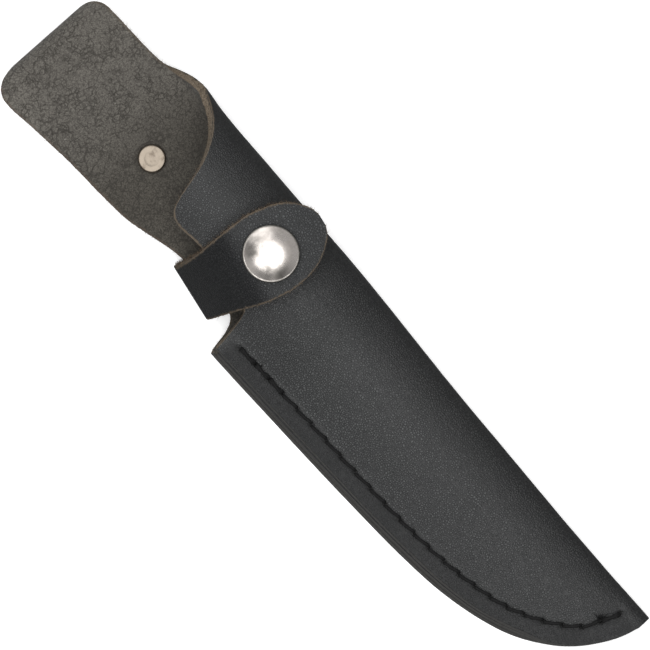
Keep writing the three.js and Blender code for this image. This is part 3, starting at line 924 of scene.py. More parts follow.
def swept(path: np.ndarray, outline: Callable[[int], np.ndarray]) -> bmesh.types.BMesh:
    """A closed rod along a path.

    Args:
        path: The points of its middle line.
        outline: For ring i, the corners of its section as (side, height) from the middle.

    Returns:
        The rod's bmesh.
    """
    runs = unit(np.gradient(path, axis=0))
    sides = unit(np.cross(runs, (0.0, 0.0, 1.0)))
    heights = np.cross(sides, runs)
    corners = [outline(i) for i in range(len(path))]
    count = len(corners[0])
    bm = bmesh.new()
    bmesh.ops.create_grid(bm, x_segments=count, y_segments=len(path) - 1, size=0.5)
    for vert in bm.verts:
        i = round((vert.co.y + 0.5) * (len(path) - 1))
        side, height = corners[i][round((vert.co.x + 0.5) * count) % count]
        vert.co = Vector(path[i] + sides[i] * side + heights[i] * height)
    bmesh.ops.remove_doubles(bm, verts=bm.verts, dist=1e-5)
    bmesh.ops.holes_fill(bm, edges=[e for e in bm.edges if e.is_boundary], sides=0)
    bmesh.ops.recalc_face_normals(bm, faces=bm.faces)
    return bm


def polygon(corners: int) -> np.ndarray:
    """The corners of a regular polygon whose corners are 1 from its middle."""
    angles = np.linspace(0, 2 * math.pi, corners, endpoint=False)
    return np.column_stack([np.cos(angles), np.sin(angles)])


def join(parts: Sequence[bmesh.types.BMesh]) -> bmesh.types.BMesh:
    """Puts several bmeshes into one, and frees them.

    Args:
        parts: The bmeshes.

    Returns:
        The joined bmesh.
    """
    whole = bmesh.new()
    for part in parts:
        mesh = bpy.data.meshes.new("part")
        part.to_mesh(mesh)
        part.free()
        whole.from_mesh(mesh)
        bpy.data.meshes.remove(mesh)
    return whole


# ---- The pattern -----------------------------------------------------------------------------------------


@dataclass(frozen=True)
class Pattern:
    """The pouch's driving sizes and its lines over its length."""

    leather: float = 2.2
    welt: float = 1.8
    gap: float = 0.3
    tip_x: float = 136.4
    tab_x: float = -81.4
    mouth_x: float = -44.0
    belt_gap: float = 4.9
    loop_end_x: float = -29.0
    rivet: tuple[float, float] = (-39.3, -6.9)

    open_edge: Line = Line((
        (-135.65, -13), (-134.45, -17), (-131.15, -19.5), (-122, -21), (-92, -24.2), (-88, -24.3),
        (-86, -23.5), (-84.6, -22), (-83.6, -19.9), (-82.3, -17.6), (-81, -19.9), (-80, -22.2), (-79, -23.7),
        (-78, -24.8), (-77, -25.5), (-75.5, -25.8), (-66, -24.9), (-54, -23.7), (-40, -23), (-32, -22.3),
        (-16, -18.4), (-8, -17.8), (0, -17.7), (4, -18.3), (5.6, -19.3), (6.9, -21.3), (7.7, -24),
        (8.3, -27.2), (8.7, -28.6), (8.95, -28.95), (9.6, -29), (12, -29), (28, -28.7), (60, -27.8),
        (84, -26.5), (96, -25), (108, -22), (116, -18.8), (122, -15), (128, -9.7), (132.2, -3.9),
        (135.2, 2.6), (136.4, 7.2),
    ))
    tab_edge: Line = Line((
        (-135.65, 0), (-134.45, 4), (-131.15, 6.2), (-122, 7.5), (-92, 8.9), (-88, 9.2), (-86, 9),
        (-84.6, 8.1), (-83.6, 6.8), (-82.3, 5), (-81, 6.8), (-80, 8.2), (-79, 9.3), (-78, 10.1), (-77, 10.5),
        (-75.5, 10.7), (-66, 11), (-60, 11.3), (-56, 11.9), (-52, 13.8), (-48, 15.4), (-45, 15.95),
    ))
    front_edge: Line = Line((
        (-44, 15.9), (-42, 14.9), (-39, 13.5), (-36, 11.5), (-32, 7), (-28.7, 0), (-27.3, -5.5), (-26, -10),
        (-24.6, -12.1), (-22, -13.1), (-15, -12.6), (-6, -12.4), (2, -13.1), (6, -14.8), (7.1, -16.4),
        (7.9, -19.5), (8.6, -23.7), (9, -26.1), (9.25, -26.75), (10, -26.8), (14, -26.7), (30, -26.2),
        (60, -25.4), (80, -24.3), (95, -22.7), (105, -20.6), (112, -18), (118, -15.2), (123, -13),
        (128, -8.7), (132.2, -3.1), (135.2, 3.2), (136.4, 7.4),
    ))
    spine: Line = Line((
        (-60, 16.3), (-44, 16), (-36, 15.2), (-16, 14.8), (20, 14.3), (60, 12.5), (84, 11.9), (116, 11.2),
        (136.4, 11.2),
    ))
    seam: Line = Line((
        (9, -22.4), (34, -21.7), (57, -21.2), (74, -20.6), (89, -19.3), (100, -17.4), (109, -15),
        (116, -11.6), (122.5, -7.2), (126.5, -3.3), (128.6, 1), (130.5, 6.5),
    ))
    crest: Line = Line((
        (-60, 17.2), (-30, 16.2), (0, 14.6), (40, 12.4), (80, 10.3), (110, 8.4), (128, 7.1), (132, 6.8),
        (136.4, 6.8),
    ))
    bend: Line = Line(((-62, 4.2), (-50, 5), (-44, 6.4), (-20, 7), (60, 5.4), (110, 4), (132, 3.5)))

    @property
    def sewn(self) -> float:
        """Height of the sewn stack: back, welt and front."""
        return 2 * self.leather + self.welt + 2 * self.gap

    @property
    def fold_x(self) -> float:
        """Where the tab starts to turn down into the belt loop."""
        return self.tab_x + self.belt_gap / 2 + self.leather

    @property
    def fold_length(self) -> float:
        """Length of the loop's fold, along the middle of the leather."""
        return math.pi * (self.belt_gap + self.leather) / 2

    @property
    def tail_t(self) -> float:
        """The loop's end, along the flat leather."""
        return self.fold_x - self.fold_length - (self.loop_end_x - self.fold_x)

    def lift(self, x: float | np.ndarray) -> float | np.ndarray:
        """Height of the back panel's outer face, which lies on the strap and, towards the tab, on the loop.

        Args:
            x: The place along the sheath.

        Returns:
            The height.
        """
        strap_lift = self.leather + self.gap
        over_strap = strap_lift * (1 - smoothstep(x, 10, 34))
        return over_strap + (self.leather + self.belt_gap - strap_lift) * (1 - smoothstep(x, -66, -47))

    def inset(self, x: float | np.ndarray) -> float | np.ndarray:
        """How far the front's sewn edge stands in from the back's."""
        return np.maximum(self.front_edge(x) - self.open_edge(x), 0.15)


PATTERN = Pattern()


def bezier(corners: Sequence[tuple[float, float]], count: int) -> np.ndarray:
    """Points on a cubic Bezier curve, without its last one.

    Args:
        corners: Its four control points.
        count: How many points to give.

    Returns:
        The points, count by 2.
    """
    t = np.linspace(0, 1, count, endpoint=False)[:, None]
    a, b, c, d = (np.array(p, float) for p in corners)
    return (1 - t) ** 3 * a + 3 * t * (1 - t) ** 2 * b + 3 * t * t * (1 - t) * c + t**3 * d


class Section:
    """The pouch's outer line across the sheath at one place, from the open edge under and round the spine."""

    ROUND = 0.552  # handle length that makes a Bezier quarter round
    COUNTS = (12, 40, 40, 60)  # points on the back, the lower and the upper half of the spine, and the front

    def __init__(self, pattern: Pattern, x: float) -> None:
        """Draws the section.

        Args:
            pattern: The pouch's lines.
            x: The place along the sheath.
        """
        base, spine, height = pattern.lift(x), pattern.spine(x), pattern.crest(x)
        under, top, flange = spine - pattern.bend(x), base + height, base + pattern.sewn
        half = pattern.sewn / 2
        middle = base + half + (0.44 * height - half) * smoothstep(height, pattern.sewn, 11)
        pinch = min(pattern.seam(max(x, 9)) + 1.5, spine - 4.6)
        crest = spine - max(3.4, 0.42 * (spine - pinch))
        reach = 0.45 * (crest - pinch)
        start = min(pattern.open_edge(x), under - 0.1)
        out = under + (spine - under) * self.ROUND
        down = middle + (base - middle) * self.ROUND
        up = middle + (top - middle) * self.ROUND
        back = crest + (spine - crest) * self.ROUND
        back_line = [(start, base), (start, base), (under, base), (under, base)]
        lower = [(under, base), (out, base), (spine, down), (spine, middle)]
        upper = [(spine, middle), (spine, up), (back, top), (crest, top)]
        off_seam = (pinch + 0.2 * (crest - pinch), flange + 0.24 * (top - flange))
        front = [(crest, top), (crest - reach, top), off_seam, (pinch, flange)]
        end = min(pattern.open_edge(x), pinch) - 1
        parts = [bezier(curve, count) for curve, count in zip((back_line, lower, upper, front), self.COUNTS)]
        self.line = np.concatenate([*parts, [(pinch, flange), (end, flange)]])
        self.widest = sum(self.COUNTS[:2])
        lengths = np.linalg.norm(np.diff(self.line, axis=0), axis=1)
        self.run = np.concatenate([[0], np.cumsum(lengths)])
        tangents = unit(np.gradient(self.line, self.run, axis=0))
        self.inward = np.stack([-tangents[:, 1], tangents[:, 0]], axis=1)

    def reach(self, y: float, upper: bool) -> float:
        """How far along the line it comes to y, on its upper or its lower half.

        Args:
            y: The place across the sheath.
            upper: Whether the front is meant, and not the back.

        Returns:
            The distance from the open edge, along the leather.
        """
        if upper:
            return float(np.interp(-y, -self.line[self.widest:, 0], self.run[self.widest:]))
        return float(np.interp(y, self.line[: self.widest + 1, 0], self.run[: self.widest + 1]))

    def at(self, distance: np.ndarray) -> tuple[np.ndarray, np.ndarray]:
        """The points and inward normals at distances along the line.

        Args:
            distance: The distances.

        Returns:
            Two arrays of (y, z) pairs.
        """
        points, inward = (
            np.stack([np.interp(distance, self.run, values[:, k]) for k in range(2)], axis=1)
            for values in (self.line, self.inward)
        )
        return points, unit(inward)


def outward(grain: np.ndarray, normal: np.ndarray, edge: int, inside: int) -> np.ndarray:
    """The directions out of the leather, in its own plane, along one edge.

    Args:
        grain: The face's places.
        normal: Its normals.
        edge: The edge's column.
        inside: The column beside it.

    Returns:
        One direction for each row.
    """
    run = unit(np.gradient(grain[:, edge], axis=0))
    out = unit(np.cross(run, normal[:, edge]))
    inwards = np.sum(out * (grain[:, inside] - grain[:, edge]), axis=1, keepdims=True)
    return -out * np.sign(inwards)


def shift(face: np.ndarray, out: np.ndarray, amount: np.ndarray, distance: np.ndarray, reach: float) -> None:
    """Moves a face's places near an edge outwards, less and less over the reach.

    Args:
        face: The face's places, which are changed.
        out: The edge's directions out of the leather.
        amount: How far each row moves at the edge.
        distance: Each place's distance from the edge.
        reach: How far in from the edge it is felt.
    """
    fade = 1 - smoothstep(distance, 0, reach)
    face += out[:, None, :] * (amount[:, None] * fade)[..., None]


# ---- The pouch -------------------------------------------------------------------------------------------


@dataclass
class Pouch:
    """The sheath's one piece of leather: belt loop, tab, back, spine and front."""

    pattern: Pattern
    holes: np.ndarray
    near_open: float = 6.0
    near_cut: float = 8.4
    counts: tuple[int, int, int] = (10, 40, 22)
    groove_depth: float = 0.16
    hole_depth: float = 0.55
    bobbin_depth: float = 0.8
    pocket_radius: float = 4.2
    pocket_depth: float = 0.6
    ragged: float = 0.06
    mouth: Edge = field(init=False)  # the cut edge on the front's side, from the tab to the tip
    hem: Edge = field(init=False)  # the open edge of the back

    def stations(self) -> np.ndarray:
        """Where the rows stand, along the flat leather from the loop's tail to the tip.

        Returns:
            Their places, closest together where the edges turn sharply.
        """
        p = self.pattern
        tail_corner, folded = p.tail_t + 4.5, p.fold_x - p.fold_length
        ends = (p.tail_t, tail_corner, folded, p.fold_x, -60, -46, -24, 4, 9.6, 118, p.tip_x)
        lengths = (0.35, 2.2, 0.5, 0.8, 0.5, 0.32, 0.8, 0.16, 0.62, 0.26)
        stretches = [steps(first, last, length) for first, last, length in zip(ends, ends[1:], lengths)]
        return np.concatenate([*stretches, [p.tip_x]])

    def columns(self, length: float) -> np.ndarray:
        """Where the columns stand across a row: closer together near its two edges.

        Args:
            length: The row's length.

        Returns:
            The distances from the row's start.
        """
        first, last = min(self.near_open, 0.2 * length), min(self.near_cut, 0.3 * length)
        ends = (0.0, first, length - last, length)
        parts = [np.linspace(a, b, n, endpoint=False) for a, b, n in zip(ends, ends[1:], self.counts)]
        return np.concatenate([*parts, [length]])

    def build(self) -> bpy.types.Object:
        """Makes the pouch.

        Returns:
            The finished piece.
        """
        grain, normal, run, front = self._face()
        length = run[:, -1:]
        cut_away = length - run
        grain = grain + normal * (self._unevenness(grain) + self._dents(grain, front))[..., None]
        flesh = grain + normal * self.pattern.leather
        flesh = flesh - normal * (self._dents(grain, front) + self._pocket(grain, front))[..., None]
        x = grain[:, 0, 0]
        sewn = smoothstep(x, 8.6, 9.4)
        inset = self.pattern.inset(x) * sewn * self.pattern.leather / self.pattern.sewn
        loose = Line(((-60, 0.1), (-44, 0.1), (-34, 0.35), (0, 0.35), (6, 0.5), (9.4, 0.5)))(x) * (1 - sewn)
        far, near = outward(grain, normal, -1, -2), outward(grain, normal, 0, 1)
        shift(flesh, far, inset + loose, cut_away, 3.0)
        shift(flesh, near, -inset, run, 3.0)
        ragged = self.ragged * (1 - 0.75 * sewn)
        for edge, distance, column in ((far, cut_away, -1), (near, run, 0)):
            jag = rough(grain[:, column], 0.9, 3.0) + 0.6 * rough(grain[:, column], 0.35, 9.0)
            shift(grain, edge, ragged * jag, distance, 0.7)
            shift(flesh, edge, ragged * jag * 1.5, distance, 0.7)
        self.mouth = (grain[:, -1].copy(), flesh[:, -1].copy(), far)
        self.hem = (grain[:, 0].copy(), flesh[:, 0].copy(), near)
        marks = self._marks(grain, front)
        marks["wear"] = bump(np.minimum(run, cut_away), 0.9) * (1 - 0.85 * sewn[:, None])
        sheet = Sheet(grain, flesh, marks, soften=0.22)
        bm = sheet.build(lambda place: Side.SANDED if place.x > 9.0 else Side.CUT)
        mark_rise(bm, self.pattern)
        piece = finished("pouch_leather", bm, LEATHER_SIDES)
        return settle(piece, Slot.SHEATH, ["sheath_leather"], Body.SHEATH)

    def _marks(self, grain: np.ndarray, front: np.ndarray) -> dict[str, np.ndarray]:
        """The marks that the leather's finishes follow, except the wear of its edges.

        Args:
            grain: The face's places.
            front: Whether each place is on the front.

        Returns:
            The pressed flange, the painted shade inside the mouth and round the rivet, the painted shade in
            the stitch holes and the painted sheen of light on the front's seam side.
        """
        x, y = grain[..., 0], grain[..., 1]
        outside_stitches = smoothstep(y, self.pattern.seam(x) + 0.9, self.pattern.seam(x) - 0.6)
        flange = np.where(front, outside_stitches * smoothstep(x, 9, 12), 0)
        round_rivet = smoothstep(self._to_rivet(grain), 4.5, 4.05)
        # How the painted sheen on the front fades towards the tip.
        towards_mouth = 0.75 + 0.25 * smoothstep(x, 90, 20)
        return {
            "flange": flange,
            # Painted shade on the flesh inside the mouth and in a ring round the rivet's pocket.
            "deep": smoothstep(x, -60, -35) + 0.8 * round_rivet,
            # Painted shade in and round the front's stitch holes.
            "hole_shade": smoothstep(self._to_hole(grain), 1.1, 0.5) * front,
            # Painted sheen of light on the front's seam side, fading towards the tip.
            "painted_sheen": smoothstep(y, 7.5, -3) * front * (1 - flange) * towards_mouth,
        }

    def _face(self) -> RowParts:
        """Lays out the grain face.

        Returns:
            Its places, its normals into the leather, each place's distance from the open edge, and whether
            it is on the front.
        """
        rows = [self._folded(t) if t >= self.pattern.fold_x else self._flat(t) for t in self.stations()]
        return tuple(np.stack(part) for part in zip(*rows))

    def _folded(self, x: float) -> RowParts:
        """One row of the body, folded round the spine as far as its cut edge.

        Args:
            x: The row's place along the sheath.

        Returns:
            The row's parts, as in a whole face.
        """
        p, section = self.pattern, Section(self.pattern, x)
        upper = x >= p.mouth_x
        length = section.reach(p.front_edge(x) if upper else p.tab_edge(x), upper)
        run = self.columns(length)
        points, inward = section.at(run)
        grain = np.column_stack([np.full(len(run), x), points])
        normal = np.column_stack([np.zeros(len(run)), inward])
        return grain, normal, run, run > section.run[section.widest]

    def _flat(self, t: float) -> RowParts:
        """One row of the loop: round the fold, or on the tail that comes back under the sheath.

        Args:
            t: The row's place along the flat leather.

        Returns:
            The row's parts, as in a whole face.
        """
        p = self.pattern
        low, high = p.open_edge(t), p.tab_edge(t)
        run = self.columns(high - low)
        radius, centre = p.belt_gap / 2, p.leather + p.belt_gap / 2
        past = max(p.fold_x - p.fold_length - t, 0)
        angle = math.pi * min(p.fold_x - t, p.fold_length) / p.fold_length
        out = np.array([-math.sin(angle), 0, math.cos(angle)])
        middle = np.column_stack([np.full(len(run), p.fold_x + past), low + run, np.full(len(run), centre)])
        return middle + out * radius, np.tile(out, (len(run), 1)), run, np.zeros(len(run), bool)

    def _unevenness(self, grain: np.ndarray) -> np.ndarray:
        """The slow waves of hand-worked leather."""
        return 0.06 * rough(grain, 16.0, 1.0) + 0.03 * rough(grain, 5.0, 5.0)

    def _dents(self, grain: np.ndarray, front: np.ndarray) -> np.ndarray:
        """How deep the seam's line and holes press into the grain face.

        Args:
            grain: The face's places.
            front: Whether each place is on the front.

        Returns:
            The depths.
        """
        x, y = grain[..., 0], grain[..., 1]
        slope = (self.pattern.seam(x + 0.05) - self.pattern.seam(x - 0.05)) / 0.1
        line = np.abs(y - self.pattern.seam(x)) / np.hypot(1, slope)
        sewn = (x > 8.5) & (x < 133)
        body = smoothstep(x, 11.5, 13.5) * (1 - smoothstep(y, 6.0, 7.5)) * sewn
        at_holes = self.hole_depth * bump(self._to_hole(grain), 0.6)
        on_front = self.groove_depth * bump(line, 1.0) * body + at_holes * sewn
        on_back = self.bobbin_depth * smoothstep(line, 1.15, 0.55) * body
        folded = grain[..., 2] < self.pattern.lift(x) + 0.5
        return np.where(front, on_front, np.where(folded, on_back, 0))

    def _to_hole(self, grain: np.ndarray) -> np.ndarray:
        """How far each place is from the nearest stitch hole, seen from above."""
        distances = [np.hypot(grain[..., 0] - x, grain[..., 1] - y) for x, y in self.holes]
        return np.min(distances, axis=0)

    def _to_rivet(self, grain: np.ndarray) -> np.ndarray:
        """How far each place is from the belt loop's rivet, seen from above."""
        return np.hypot(grain[..., 0] - self.pattern.rivet[0], grain[..., 1] - self.pattern.rivet[1])

    def _pocket(self, grain: np.ndarray, front: np.ndarray) -> np.ndarray:
        """How deep the belt loop's rivet is sunk into the flesh face.

        Args:
            grain: The face's places.
            front: Whether each place is on the front.

        Returns:
            The depths.
        """
        radius, tail = self.pocket_radius, grain[..., 2] < 1.0
        depth = self.pocket_depth * smoothstep(self._to_rivet(grain), radius + 0.35, radius - 0.2)
        return np.where(front | tail, 0, depth)


def mark_rise(bm: bmesh.types.BMesh, pattern: Pattern) -> None:
    """Marks each point with its height above the sheath's underside, which the sanded edge's lines follow.

    Args:
        bm: The piece, in millimetres.
        pattern: The pouch's lines.
    """
    layer = bm.verts.layers.float.new("rise")
    heights = np.array([(v.co.x, v.co.z) for v in bm.verts])
    rises = heights[:, 1] - pattern.lift(heights[:, 0])
    for vert, value in zip(bm.verts, rises):
        vert[layer] = float(value)


@dataclass
class Welt:
    """The filler strip between the two layers at the seam."""

    pattern: Pattern
    first_x: float = 10.2
    last_x: float = 135.9
    clearance: float = 0.02

    def build(self) -> bpy.types.Object:
        """Makes the strip, whose outer edge is sanded down with the layers on its two sides.

        Returns:
            The finished piece.
        """
        p = self.pattern
        x = np.append(steps(self.first_x, self.last_x, 0.8), self.last_x)
        inner = np.minimum(p.seam(x) + 1.9, p.spine(x) - p.leather - 1)
        low, high = p.leather + self.clearance, p.sewn - p.leather - self.clearance
        faces = []
        for height in (high, low):
            outer = p.front_edge(x) - p.inset(x) * (1 - height / p.sewn) + 0.05
            across = np.linspace(0, 1, 7)
            y = outer[:, None] + (np.maximum(inner, outer + 0.4) - outer)[:, None] * across
            z = np.broadcast_to((p.lift(x) + height)[:, None], y.shape)
            faces.append(np.stack([np.broadcast_to(x[:, None], y.shape), y, z], axis=-1))
        sheet = Sheet(*faces, {"wear": np.zeros(faces[0].shape[:2])}, soften=0.12)
        bm = sheet.build(lambda place: Side.SANDED)
        mark_rise(bm, p)
        return settle(finished("welt_strip", bm, LEATHER_SIDES), Slot.WELT, ["welt"], Body.SHEATH)


# ---- The seam --------------------------------------------------------------------------------------------


@dataclass
class Seam:
    """The stitching: a needle thread on the front, doubled at its ends, and a bobbin thread in the back."""

    pattern: Pattern
    hole_xs: tuple[float, ...] = (
        13, 18.7, 24, 29.2, 34.7, 40.2, 45.8, 51.4, 57, 62.8, 68.4, 74, 79.2, 84.5, 89.7, 94.8, 99.8, 104.7,
        109.5, 114, 118.5, 122.7, 126.3, 128.6, 130.4,
    )
    thread: float = 0.84
    rings: int = 14
    plies: int = 3
    twist: float = 2.4  # length of one turn of the plies
    slant: float = 0.34  # how far a stitch starts and ends off the seam's line
    sink: float = 1.1  # how deep the thread goes into a hole
    doubled_slant: float = -0.36  # the same for the stitches that are sewn twice
    hair_radius: float = 0.19

    @property
    def last(self) -> int:
        """Number of the last hole."""
        return len(self.hole_xs) - 1

    def holes(self) -> np.ndarray:
        """The stitch holes, from the mouth's end to the tip."""
        x = np.array(self.hole_xs, float)
        return np.column_stack([x, self.pattern.seam(x)])

    def strand(self, first: int, last: int, side: float, front: bool, lift: float = 0.0) -> bmesh.types.BMesh:
        """One thread over the stitches from hole first to hole last.

        Args:
            first: Number of its first hole.
            last: Number of its last hole.
            side: How far the thread lies off the line at a stitch's start and, the other way, at its end.
            front: Whether it lies on the front, and not in the back's groove.
            lift: How much higher it lies.

        Returns:
            Its bmesh.
        """
        holes, points = self.holes(), []
        share = np.linspace(0, 1, self.rings, endpoint=False)
        for a, b in zip(holes[first:last], holes[first + 1:last + 1]):
            run = b - a
            across = np.array([-run[1], run[0]]) / np.linalg.norm(run)
            arch = np.sin(np.pi * share)
            crown = np.minimum(1, arch * 2.6)
            aside = side * (2 * share - 1) + 0.05 * np.sin(9 * share)
            flat = a + run * share[:, None] + across * aside[:, None]
            height = lift * arch + (self.thread * 0.36 + 0.06 * arch) * crown
            points.append(np.column_stack([flat, height - self.sink * (1 - crown)]))
        points.append([[*(holes[last] + 0.1), -self.sink]])
        path = np.concatenate(points)
        base = self.pattern.lift(path[:, 0])
        if front:
            path[:, 2] += base + self.pattern.sewn - 0.1
        else:
            path[:, 2] = base + self.thread / 2 + 0.04 + np.maximum(-path[:, 2], 0) * 1.2
        return swept(path, lambda i: self._ply_section(i, path))

    def _ply_section(self, ring: int, path: np.ndarray) -> np.ndarray:
        """The twisted plies' outline at one ring.

        Args:
            ring: The ring's number.
            path: The points of the thread's middle line.

        Returns:
            The outline's corners.
        """
        travelled = np.linalg.norm(np.diff(path[: ring + 1], axis=0), axis=1).sum()
        angles = np.linspace(0, 2 * math.pi, 5 * self.plies, endpoint=False)
        lobes = np.abs(np.cos(self.plies / 2 * (angles - 2 * math.pi * travelled / self.twist)))
        radius = self.thread / 2 * (0.80 + 0.24 * lobes)
        return np.column_stack([radius * np.cos(angles), radius * np.sin(angles)])

    def tuft(
        self, x: float, y: float, aim: tuple[float, float, float], count: int, length: float, seed: int
    ) -> list[bmesh.types.BMesh]:
        """The frayed plies of a cut thread end.

        Args:
            x: Where they start, along the sheath.
            y: Where they start, across it.
            aim: The way that they lean.
            count: How many hairs there are.
            length: The longest hair.
            seed: Their random seed.

        Returns:
            One bmesh for each hair.
        """
        rng = random.Random(seed)
        root = np.array([x, y, self.pattern.lift(x) + self.pattern.sewn + 0.3])
        share = np.linspace(0, 1, 5)[:, None]
        hairs = []
        for _ in range(count):
            spread = np.array([rng.uniform(-0.5, 0.5), rng.uniform(-0.5, 0.5), rng.uniform(-0.1, 0.5)])
            curl = np.array([rng.uniform(-0.4, 0.4), rng.uniform(-0.4, 0.4), rng.uniform(-0.5, 0.1)])
            reach = length * rng.uniform(0.5, 1)
            path = root + unit(np.array(aim) + spread) * reach * share + curl * reach * share**2
            hairs.append(hair(path, self.hair_radius * rng.uniform(0.6, 1)))
        return hairs

    def build(self) -> list[bpy.types.Object]:
        """Makes both threads.

        Returns:
            The two finished pieces.
        """
        over = [
            self.strand(0, self.last, self.slant, front=True),
            self.strand(0, 3, self.doubled_slant, front=True, lift=0.22),
            self.strand(self.last - 1, self.last, self.doubled_slant, front=True, lift=0.2),
            *self.tuft(128.4, 0.6, (-0.4, 0.85, 0.25), count=18, length=2.8, seed=4),
            *self.tuft(20.2, -21.4, (-0.2, 0.9, 0.3), count=5, length=0.8, seed=5),
        ]
        under = [self.strand(0, self.last, -self.slant / 2, front=False)]
        made = []
        for node, parts in (("needle_thread", over), ("bobbin_thread", under)):
            piece = finished(node + "_run", join(parts), [THREAD])
            made.append(settle(piece, Slot.THREAD, [node], Body.SHEATH))
        return made


def hair(path: np.ndarray, radius: float) -> bmesh.types.BMesh:
    """A tapered three-sided hair.

    Args:
        path: The points of its middle line.
        radius: Its radius at its root.

    Returns:
        Its bmesh.
    """
    taper = np.linspace(1, 0.25, len(path)) * radius
    return swept(path, lambda i: polygon(3) * taper[i])


# ---- The keeper strap ------------------------------------------------------------------------------------


